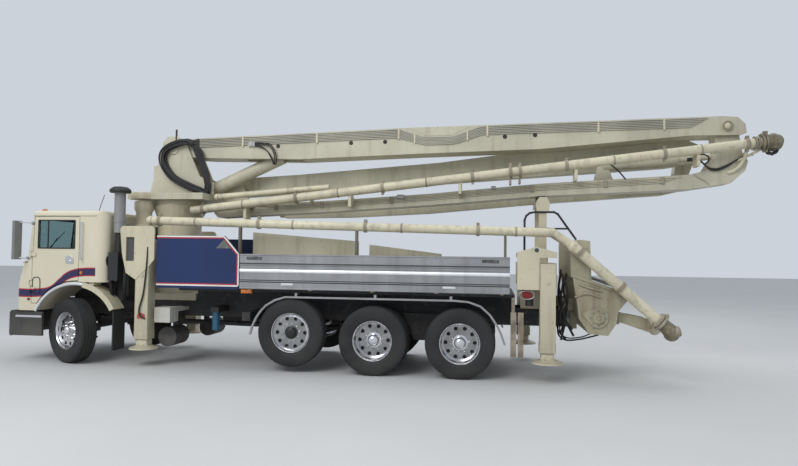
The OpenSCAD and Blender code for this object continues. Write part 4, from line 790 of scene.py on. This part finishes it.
for side, s in bothSides:
    out = (0, s, 0)
    y = s * cab["side"]
    door = "door_" + side
    holeX, holeZ = np.array(cab["window"]).T
    corners = level(holeX, y + s * 0.001, holeZ)
    ring = rods(corners, np.roll(corners, -1, axis=0), 0.011)
    ring += rods([(cab["bar"], y - s * 0.02, 1.965)], [(cab["bar"], y - s * 0.02, 2.435)], 0.012)
    makePiece("window_rubber_" + side, ring, door, "darkTrim")
    handle = [slab(cab["handle"], y, y + s * 0.008),
              tube(np.array(cab["lever"]) * (1, s, 1) + (0, y, 0), 0.009, 8, 5),
              disc((-5.18, y + s * 0.006, 1.805), out, 0.016, 0.008)]
    makePiece("door_handle_" + side, handle, door, "chrome")
    trim = tube(arc(axles["front"], y + s * 0.004, axles["height"], *cab["trimArc"]), 0.026, 10, 1)
    makePiece("arch_trim_" + side, [trim], "chassis", "brightTrimAndHighlight")
    bead = tube(arc(axles["front"], s * 1.204, axles["height"], *cab["beadArc"]), 0.014, 8, 1)
    makePiece("fender_bead_" + side, [bead], "chassis", "cream")
    grip = tube([(a, y + s * 0.003, b) for a, b in cab["grip"]], 0.0075, 8, 4)
    makePiece("grip_outline_" + side, [grip], door, "darkTrim")
    lamp = disc((-5.00, y, 1.546), out, 0.028, 0.014, 20)
    makePiece("stripe_lamp_" + side, [lamp], "chassis", "lampAmber")
    marker = disc((-5.98, y, 1.075), out, 0.022, 0.015)
    makePiece("side_marker_" + side, [marker], "chassis", "lampRed")
    strip = brick((-6.20, s * 1.199, 0.765), (-5.71, s * 1.207, 0.80))
    makePiece("bumper_strip_" + side, [strip], "chassis", "chrome")
    lamps = [disc((-6.318, s * place, 0.66), -axisX, 0.085, 0.03) for place in cab["headlamps"]]
    makePiece("headlamps_" + side, lamps, "chassis", "lens")
    lamp = brick((-6.322, s * 1.03, 0.60), (-6.345, s * 1.14, 0.72))
    makePiece("turn_lamp_" + side, [lamp], "chassis", "lampAmber")
# Ribbed intake hose from the cleaner to the cab's rear wall, and hoses down to the frame
intake = {"radius": 0.098, "rib": 0.009,
          "way": ((-4.56, -1.00, 1.70), (-4.62, -1.01, 1.78), (-4.70, -0.99, 1.83), (-4.80, -0.93, 1.84))}
path = smoothPath(intake["way"], 16)
ribbed = intake["radius"] + intake["rib"] * np.cos(np.arange(len(path)) * math.pi)
makePiece("intake_hose", [tube(path, ribbed, 22, 1)], "chassis", "hose", angle=70)
parts = [tube([(-4.70, y, 1.50 - 0.05 * k), (-4.60, y - 0.03, 1.48 - 0.06 * k), (-4.54, y - 0.05, 1.34),
               (-4.55, y, 1.18), (-4.50, y + 0.06, 1.05)], 0.024, 9, 6)
         for k, y in enumerate((-0.98, -0.90, -0.81, -0.70))]
parts += [tube([(-4.34, -1.03, 1.82), (-4.27, -1.05, 1.72), (-4.27, -1.05, 1.45), (-4.32, -0.98, 1.22),
                (-4.38, -0.86, 1.06)], 0.030, 10, 6)]
makePiece("engine_hoses", parts, "chassis", "hose")
lamps = [turned([[0.045, 0], [0.045, 0.03], [0.025, 0.05]], (-5.90, y, 2.605), axisZ, 16)
         for y in cab["roofLamps"]]
makePiece("roof_lamps", lamps, "chassis", "lampAmber")
aerial = tube([(-4.95, -0.8, 2.60), (-4.95, -0.8, 2.66), (-4.86, -0.8, 2.92)], 0.006, 6, 3)
makePiece("aerial", [aerial], "chassis", "darkTrim")
wipers = []
for y in (-0.75, 0.35):
    wipers.append(tube([(-6.075, y, 1.79), (-6.05, y + 0.2, 2.0), (-6.035, y + 0.32, 2.15)], 0.008, 6, 4))
    wipers.append(tube([(-6.065, y + 0.05, 1.88), (-6.02, y + 0.5, 2.28)], 0.007, 6, 1))
makePiece("wipers", wipers, "chassis", "darkTrim")
rubber = []
for side, s in bothSides:
    low, high = (np.array([(x, s * y, z) for y in cab["screenEdges"]]) for x, z in cab["screen"])
    rubber += rods(low, high, 0.012) + rods((low[0], high[0]), (low[1], high[1]), 0.012)
makePiece("windscreen_rubber", rubber, "chassis", "darkTrim")
grille = [brick((-6.226, -0.55, z), (-6.242, 0.55, z + 0.028)) for z in cab["grille"]]
makePiece("front_grille", grille, "chassis", "chrome")
print("stage: cab")

# Border of the side panel, open at the front where the jack covers it; inset moves its points inwards
panel = {"face": 1.2152,
         "border": ((-3.605, 1.375), (-2.165, 1.375), (-2.165, 1.895), (-2.418, 2.180), (-3.605, 2.180)),
         "inset": ((0, 0.022), (-0.022, 0.022), (-0.022, -0.010), (-0.012, -0.022), (0, -0.022)),
         "triangle": ((-2.56, 1.99), (-2.29, 1.99), (-2.42, 2.135))}
# The boards' folds, rails and grooves by distance from the face and height, then slots, latches and rivets
board = {"ends": (-2.128, 2.220), "face": 1.240, "back": -0.001,
         "band": ((-0.001, 1.600), (0.010, 1.606), (0.013, 1.620), (0.006, 1.652), (-0.001, 1.660)),
         "rails": ((1.335, 1.362, 0.007), (1.456, 1.470, 0.005), (1.672, 1.679, 0.004), (1.724, 1.738, 0.006),
                   (1.757, 1.775, 0.005), (1.878, 1.904, 0.010)),
         "grooves": ((-0.0105, -0.0045, 1.441, 1.4555), (-0.001, 0.0012, 1.7385, 1.7565),
                     (-0.001, 0.0012, 1.4705, 1.4865)),
         "slots": (-2.015, 1.795),
         "slot": ((0, 1.812), (0.26, 1.806), (0.26, 1.858), (0.14, 1.864), (0, 1.858)),
         "latches": (-1.32, 1.29), "rivets": np.linspace(-2.08, 2.17, 26), "rivetRows": (1.385, 1.575, 1.795)}


def boardStrip(section, s):
    # A section given from the board's face is carried over the board's length
    return lengthwise(np.array(section) + (board["face"], 0), board["ends"], s)


def latch(x, s):
    # A plate with a raised middle and a screw at each end
    face = board["face"]
    out = (0, s, 0)
    return [brick((x - 0.10, s * (face - 0.001), 1.402), (x + 0.10, s * (face + 0.014), 1.436)),
            brick((x - 0.03, s * (face + 0.014), 1.408), (x + 0.03, s * (face + 0.024), 1.430)),
            disc((x - 0.08, s * (face + 0.014), 1.419), out, 0.008, 0.005, 8),
            disc((x + 0.08, s * (face + 0.014), 1.419), out, 0.008, 0.005, 8)]


for side, s in bothSides:
    out = (0, s, 0)
    y = s * panel["face"]
    border = np.array(panel["border"])
    outer = [ribbon(border[k:k + 2], 0.024, y - s * 0.002, y + s * 0.002) for k in range(len(border) - 1)]
    makePiece("panel_border_" + side, outer, "chassis", "white")
    border = border + panel["inset"]
    inner = [ribbon(border[k:k + 2], 0.022, y - s * 0.002, y + s * 0.001) for k in range(len(border) - 1)]
    makePiece("panel_border_inner_" + side, inner, "chassis", "red")
    mark = slab(panel["triangle"], y - s * 0.001, y + s * 0.0022)
    makePiece("panel_triangle_" + side, [mark], "chassis", "greyHose")
    # The band along the boards' fold is coloured bright: a painted highlight
    makePiece("board_band_" + side, [boardStrip(board["band"], s)], "chassis", "brightTrimAndHighlight")
    back = board["back"]
    rails = [boardStrip([(back, a), (d, a + 0.004), (d, b - 0.004), (back, b)], s)
             for a, b, d in board["rails"]]
    makePiece("board_rails_" + side, rails, "chassis", "aluminium")
    # The boards' grooves are coloured dark grey: painted shade in the creases
    grooves = [boardStrip([(a, low), (b, low), (b, high), (a, high)], s)
               for a, b, low, high in board["grooves"]]
    makePiece("board_grooves_" + side, grooves, "chassis", "shadowLine")
    y = s * board["face"]
    slots = [slab(np.array(board["slot"]) + (x, 0), y - s * 0.001, y + s * 0.004) for x in board["slots"]]
    makePiece("board_slots_" + side, slots, "chassis", "steelDark")
    latches = sum((latch(x, s) for x in board["latches"]), [])
    makePiece("board_latches_" + side, latches, "chassis", "brightTrimAndHighlight")
    rivets = [disc((x, y, z), out, 0.006, 0.004, 8) for x in board["rivets"] for z in board["rivetRows"]]
    makePiece("board_rivets_" + side, rivets, "chassis", "aluminium")
    lamp = [brick((-2.10, s * 1.205, 1.268), (-1.94, s * 1.235, 1.318)),
            brick((-2.115, s * 1.200, 1.258), (-1.925, s * 1.207, 1.328))]
    makePiece("side_lamp_" + side, lamp, "chassis", "lampAmber")
print("stage: panels and boards")

# Outriggers: hoses and reflectors, sleeve collars, feet, and the lamps beside the rear ones
jack = {"y": 1.125, "collar": 0.246, "collarLow": 0.455, "collarHigh": 0.592, "casting": 0.198,
        "castingLow": 0.322, "castingHigh": 0.446,
        "foot": ((0.236, 0.2895), (0.236, 0.306), (0.228, 0.314), (0.150, 0.330)),
        "legs": (("front", "left", -1, -3.845), ("front", "right", 1, -4.097), ("rear", "left", -1, 2.790),
                 ("rear", "right", 1, 2.530)),
        "hose": ((0.095, 1.245, 2.0), (0.09, 1.262, 1.7), (0.045, 1.262, 1.235), (-0.02, 1.262, 0.98),
                 (-0.01, 1.262, 0.86), (0.08, 1.25, 0.80)),
        "reflector": ((-0.07, 0.80), (0.07, 0.80), (0.07, 0.87), (0, 0.90), (-0.07, 0.87))}
tail = {"lamps": (("left", -1, 2.48), ("right", 1, 2.85)), "width": 0.112, "height": 0.066, "z": 1.33,
        "can": ((0.062, 0), (0.062, 0.12), (0.05, 0.135))}
for end, side, s, x in jack["legs"]:
    out = (0, s, 0)
    place = "%s_%s" % (end, side)
    body = "beam_" + place
    y = s * jack["y"]
    if end == "front":
        hose = tube(np.array(jack["hose"]) * (1, s, 1) + (x, 0, 0), 0.013, 8, 7)
        makePiece("leg_hose_" + side, [hose], body, "hose")
        mark = slab(np.array(jack["reflector"]) + (x, 0), s * 1.2395, s * 1.2435)
        makePiece("leg_reflector_" + side, [mark], body, "fadedRed")
        # A dark plate behind the head plate's window: painted shade
        shade = brick((x + s * 0.140, s * 1.2195, 1.750), (x + s * 0.310, s * 1.2150, 2.170))
        makePiece("head_window_shade_" + side, [shade], body, "shadowLine")
    else:
        # A dark disc on the gable: painted shade in a hole
        hole = disc((x + s * 0.170, s * 1.2495, 2.015), out, 0.034, 0.004, 20)
        makePiece("gable_hole_shade_" + side, [hole], body, "shadowLine")
    edges = [tube([(x + e, s * 1.24, 0.59), (x + e, s * 1.24, 1.60)], 0.005, 6, 1) for e in (-0.1125, 0.1125)]
    caps = [disc((x, s * 1.24, 1.52), out, 0.030, 0.010), disc((x, s * 1.25, 1.52), out, 0.014, 0.010, 6)]
    makePiece("leg_bolts_" + place, edges + caps, body, "cream")
    collar = upright(x, y, jack["collar"], jack["collarLow"], jack["collarHigh"], 0.012)
    makePiece("sleeve_collar_" + place, [collar], body, "cream")
    foot = [upright(x, y, jack["casting"], jack["castingLow"], jack["castingHigh"], 0.02),
            turned(jack["foot"], (x, y, 0), axisZ, 40)]
    heads = [(x + e, s * (jack["y"] + jack["casting"] / 2), 0.385) for e in (-0.05, 0.05)]
    makePiece("foot_casting_" + place, foot + bolts(heads, out, 0.020, 0.014), "leg_" + place,
              "pipeCream")
for side, s, x in tail["lamps"]:
    a = np.linspace(0, 2 * math.pi, 40)[:-1]
    ring = level(x + tail["width"] * np.cos(a), s * 1.216, tail["z"] + tail["height"] * np.sin(a))
    makePiece("tail_lamp_ring_" + side, [tube(ring, 0.010, 8, 1)], "chassis", "steel")
    can = turned(tail["can"], (x + 0.04, s * 1.12, 1.16), axisZ, 20)
    makePiece("tail_can_" + side, [can], "chassis", "darkTrim")
print("stage: outriggers")


def lug(at, low, far):
    # The coupling's lug from low above the pipe's middle, and the bolt across it
    return [brick(at + (-0.024, -0.028, low), at + (0.024, far, low + 0.038)),
            disc(at + (0, -0.034, low + 0.020), axisY, 0.011, 0.068, 8)]


# Lugs on the boom pipe's couplings, its double clamps, and rings between them
tip = boomPipe["end"]
run = tip - boomPipe["start"]
way = unit(run)
parts = []
for t in boomPipe["couplings"]:
    at = boomPipe["start"] + t * run + way * 0.025
    parts += lug(at, 0.09, 0.030) + [brick(at + (-0.020, -0.026, -0.125), at + (0.020, 0.026, -0.09))]
for t in boomPipe["double"]:
    at = boomPipe["start"] + t * run
    parts += [coupling(at, way, 0.070, 0.108, 0.006, 0.020, 0.008, 28),
              brick(at + (-0.022, -0.030, 0.10), at + (0.022, 0.030, 0.150)),
              brick(at + (-0.016, -0.020, -0.20), at + (0.016, 0.200, -0.10))]
for t in boomPipe["rings"]:
    parts.append(disc(boomPipe["start"] + t * run, way, boomPipe["radius"] + 0.007, 0.024, 28))
makePiece("boom_pipe_clamps", parts, "boom_2", "clamp")
# The same on the pipe along the deck
deckClamps = {"couplings": (-3.66, -1.90, -0.10, 1.70), "rings": (-3.0, -1.3, 0.5, 2.3), "y": -1.08}
deckWay, dropWay = (unit(np.subtract(*deckPipe[part][::-1])) for part in ("run", "drop"))
parts = []
for x in deckClamps["couplings"]:
    parts += lug(np.array([x + 0.025, deckClamps["y"], deckPipeAt(x)]), 0.084, 0.028)
for x in deckClamps["rings"]:
    parts.append(disc((x, deckClamps["y"], deckPipeAt(x)), deckWay, 0.077, 0.030, 28))
makePiece("deck_pipe_clamps", parts, "chassis", "clamp")

# Elbow at the foot of the drop and elbow at the boom's tip: distance along the pipe, then what is added
elbows = {"drop": ((-0.10, 0, 0), (0, 0, 0), (0.10, 0, 0), (0.18, 0.03, 0), (0.215, 0.10, -0.01),
                   (0.22, 0.19, -0.02)),
          "dropRadii": (0.090, 0.102, 0.112, 0.112, 0.106), "dropRings": (-0.085, -0.02),
          "cap": ((0.072, 0.0), (0.080, 0.02), (0.080, 0.07), (0.060, 0.085), (0.040, 0.086)),
          "end": ((-0.06, 0, 0), (0.05, 0, 0), (0.13, 0.012, 0), (0.19, 0.06, 0), (0.205, 0.13, 0),
                  (0.205, 0.20, 0)),
          "endRadius": 0.108, "endRings": (0.005, -0.045)}


def bend(place, along, points):
    # Points at place + distance * along, each moved in Y and Z
    return np.array([place + along * t + (0, y, z) for t, y, z in points])


low = np.array(deckPipe["drop"][1])
elbow = tube(bend(low, dropWay, elbows["drop"]), elbows["dropRadii"], 28, 5)
makePiece("drop_elbow", [elbow], "chassis", "elbow")
rings = [coupling(low + dropWay * t, dropWay, 0.075, 0.122, 0.005, 0.020, 0.010) for t in elbows["dropRings"]]
rings += [brick(low + (0.02, -0.03, 0.09), low + (0.09, 0.03, 0.15)),
          turned(elbows["cap"], low + dropWay * 0.20 + (0.02, -0.01, 0.02), (1, -0.1, 0.25), 24)]
makePiece("drop_clamps", rings, "chassis", "clamp")

# Flange, elbow, outlet and stays at the boom's tip
flange = [disc(tip - way * 0.16, way, 0.105, 0.03, 28), disc(tip - way * 0.12, way, 0.100, 0.03, 28)]
makePiece("end_flange", flange, "boom_2", "clamp")
heads = circle(tip - way * 0.17, axisY, np.cross(way, axisY), 0.092, 8)
makePiece("end_flange_bolts", bolts(heads, way, 0.010, 0.09), "boom_2", "steel")
points = bend(tip, way, elbows["end"])
outlet = points[-1]
makePiece("end_elbow", [tube(points, elbows["endRadius"], 28, 5)], "boom_2", "elbow")
rings = [coupling(tip + way * t, way, 0.085, 0.132, 0.004, 0.018, 0.010) for t in elbows["endRings"]]
rings += [coupling(outlet, axisY, 0.090, 0.140, 0.006, 0.022, 0.012, 36),
          brick(tip + (-0.03, -0.03, 0.12), tip + (0.03, 0.03, 0.165)),
          brick(tip + (-0.03, -0.03, -0.165), tip + (0.03, 0.03, -0.12))]
makePiece("end_elbow_rings", rings, "boom_2", "elbow")
levers = [tube(outlet + [(-0.10, 0, -0.10), (-0.10, -0.02, -0.17), (-0.04, -0.04, -0.185),
                         (0.03, -0.02, -0.16), (0.06, 0, -0.12)], 0.024, 10, 5),
          tube(tip + [(0.02, 0, -0.10), (0.06, 0, -0.17), (0.12, 0.02, -0.20)], 0.022, 10, 5)]
makePiece("end_clamp_levers", levers, "boom_2", "darkTrim")
stays = [tube([(5.935, -0.40, 3.700), (5.932, -0.36, 3.62), (5.925, -0.30, 3.53), (5.88, -0.25, 3.43),
               (5.80, -0.225, 3.35), (5.70, -0.208, 3.315)], 0.028, 12, 5),
         tube([(6.19, -0.40, 3.69), (6.05, -0.36, 3.61), (5.90, -0.27, 3.53), (5.84, -0.208, 3.50)],
              0.020, 12, 5)]
makePiece("end_stays", stays, "boom_2", "pipeCream")

# Hydraulic lines, fittings and hoses on the second section, whose lower edge is given by X and height
section = {"under": ((-3.0, 2.76), (-1.0, 2.86), (0.86, 2.985), (2.734, 3.152), (5.126, 3.29)),
           "lines": 4, "from": -2.2, "later": 0.15, "to": 5.0, "sooner": 0.1, "below": 0.035, "pitch": 0.024,
           "clamps": (-1.9, -1.05, 0.2, 1.4, 2.6, 3.8, 4.7)}
parts = []
for k in range(section["lines"]):
    x = np.linspace(section["from"] + section["later"] * k, section["to"] - section["sooner"] * k, 40)
    z = heightAt(section["under"], x) - section["below"] - section["pitch"] * k
    parts.append(tube(level(x, -0.212, z), 0.0085, 8, 1))
makePiece("section_lines", parts, "boom_2", "shadedBoomCream")
clamps = []
for x in section["clamps"]:
    z = heightAt(section["under"], x)
    clamps.append(brick((x - 0.03, -0.20, z - 0.125), (x + 0.03, -0.232, z - 0.018)))
makePiece("section_clamps", clamps, "boom_2", "clamp")
valves = [brick((-2.50, -0.20, 2.70), (-2.32, -0.27, 2.80)), brick((0.30, -0.20, 2.90), (0.42, -0.26, 2.965)),
          brick((1.92, -0.20, 3.06), (2.00, -0.25, 3.11))]
makePiece("section_valves", valves, "boom_2", "steel")
foldHoses = {"count": 3, "radius": 0.013,
             "way": ((5.12, -0.10, 3.57), (5.25, -0.19, 3.56), (5.33, -0.225, 3.47), (5.40, -0.235, 3.40),
                     (5.53, -0.235, 3.378), (5.68, -0.235, 3.43), (5.86, -0.24, 3.53), (5.98, -0.25, 3.60)),
             "step": ((0, 0, -0.02), (0, 0, -0.02), (0, 0, 0), (0.01, 0, -0.012), (0, 0, -0.012),
                      (0, 0, -0.01), (0, 0, 0), (0.05, 0, 0))}
parts = hoseSet(foldHoses)
parts += [tube([(5.20, -0.12, 3.60), (5.33, -0.22, 3.615), (5.41, -0.235, 3.57), (5.40, -0.235, 3.49),
                (5.33, -0.22, 3.45)], 0.012, 8, 7),
          tube([(3.86, -0.075, 3.53), (3.90, -0.19, 3.46), (4.0, -0.225, 3.36), (4.12, -0.215, 3.22)],
               0.012, 8, 7)]
makePiece("fold_cylinder_hoses", parts, "boom_2", "hose")
thin = tube([(5.19, -0.210, 3.302), (5.25, -0.214, 3.245), (5.36, -0.214, 3.185), (5.425, -0.208, 3.125)],
            0.009, 8, 6)
makePiece("section_thin_pipe", [thin], "boom_2", "shadedLineCream")
print("stage: pipes")

# Hoses beside the hopper: four points of each by X and height, and how far each point is moved along Y
tangle = {"ways": (((3.02, 1.67), (3.10, 1.37), (3.00, 0.97), (3.18, 0.83)),
                   ((3.06, 1.60), (3.02, 1.25), (3.08, 0.90), (3.02, 0.62)),
                   ((3.10, 1.52), (3.12, 1.20), (3.05, 1.00), (3.20, 0.78)),
                   ((2.99, 1.50), (3.05, 1.10), (2.98, 0.80), (3.12, 0.60)),
                   ((3.12, 1.66), (3.07, 1.40), (3.13, 1.10), (3.04, 0.72)),
                   ((3.04, 1.72), (3.00, 1.30), (3.10, 0.95), (3.24, 0.66))),
          "aside": (0, -0.02, 0.03, 0), "y": -0.93, "pitch": 0.055, "radii": (0.014, 0.016, 0.018)}
parts = []
for k, line in enumerate(tangle["ways"]):
    y = tangle["y"] + tangle["pitch"] * k
    points = [(x, y + aside, z) for (x, z), aside in zip(line, tangle["aside"])]
    parts.append(tube(points, tangle["radii"][k % 3], 8, 7))
makePiece("hopper_hoses", parts, "chassis", "hose")
parts = [tube([(2.99, -0.74, 0.86), (2.99, -0.78, 0.70), (3.10, -0.80, 0.615), (3.30, -0.80, 0.63),
               (3.48, -0.80, 0.675), (3.60, -0.80, 0.711)], 0.013, 8, 6),
         tube([(3.02, -0.68, 0.90), (3.03, -0.72, 0.72), (3.14, -0.74, 0.64), (3.34, -0.74, 0.66),
               (3.46, -0.74, 0.705), (3.51, -0.74, 0.7235)], 0.010, 8, 6)]
makePiece("hopper_drain_hose", parts, "chassis", "hose")
parts = [tube([(3.28, -0.965, 1.50), (3.46, -0.972, 1.44), (3.62, -0.968, 1.40)], 0.015, 8, 5),
         tube([(3.22, -0.965, 1.30), (3.40, -0.975, 1.36), (3.60, -0.968, 1.30)], 0.013, 8, 5)]
makePiece("hopper_water_pipes", parts, "chassis", "hopperCream")
parts = []
for side, s in bothSides:
    parts += bolts(circle((3.57, s * 0.975, 0.985), axisX, axisZ, 0.115, 8), (0, s, 0), 0.013, 0.012)
makePiece("bearing_bolts", parts, "chassis", "steel")
heads = circle((-3.84, 0, 2.765), axisX, axisY, 0.445, 40)
makePiece("ring_bolts", bolts(heads, -axisZ, 0.014, 0.028), "chassis", "steel")
print("stage: hopper")

# Floor, sky and lamps; a lamp has its place, what it points at, its size and its power
around = {"floor": 60, "sky": (0.80, 0.86, 0.94, 1), "skyPower": 0.75,
          "lamps": (("key", (-6, -14, 13), (0, 0, 1.5), 9, 1500), ("top", (2, 4, 14), (0, 0, 1), 14, 900))}
corners = around["floor"] * np.array([(-1, -1, 0), (1, -1, 0), (1, 1, 0), (-1, 1, 0)])
floorMesh = bpy.data.meshes.new("floor")
floorMesh.from_pydata(corners.tolist(), [], [(0, 1, 2, 3)])
floor = addObject("floor", floorMesh)
finish("floorGrey", (0.55, 0.55, 0.54), rough=0.8, tone=0.02, toneScale=0.4, edge=0)
floorMesh.materials.append(finishes["floorGrey"])

world = bpy.data.worlds.new("sky")
bpy.context.scene.world = world
world.use_nodes = True
feed(world.node_tree.nodes["Background"], "Color", around["sky"])
feed(world.node_tree.nodes["Background"], "Strength", around["skyPower"])
for name, place, aim, size, power in around["lamps"]:
    lamp = bpy.data.lights.new(name, "AREA")
    lamp.size = size
    lamp.energy = power
    ahead = unit(np.subtract(aim, place))
    right = unit(np.cross(ahead, axisZ))
    addObject(name, lamp).matrix_world = standing(right, np.cross(right, ahead), -ahead, place)
bpy.context.scene.view_settings.view_transform = "Standard"
print("stage: floor and light")
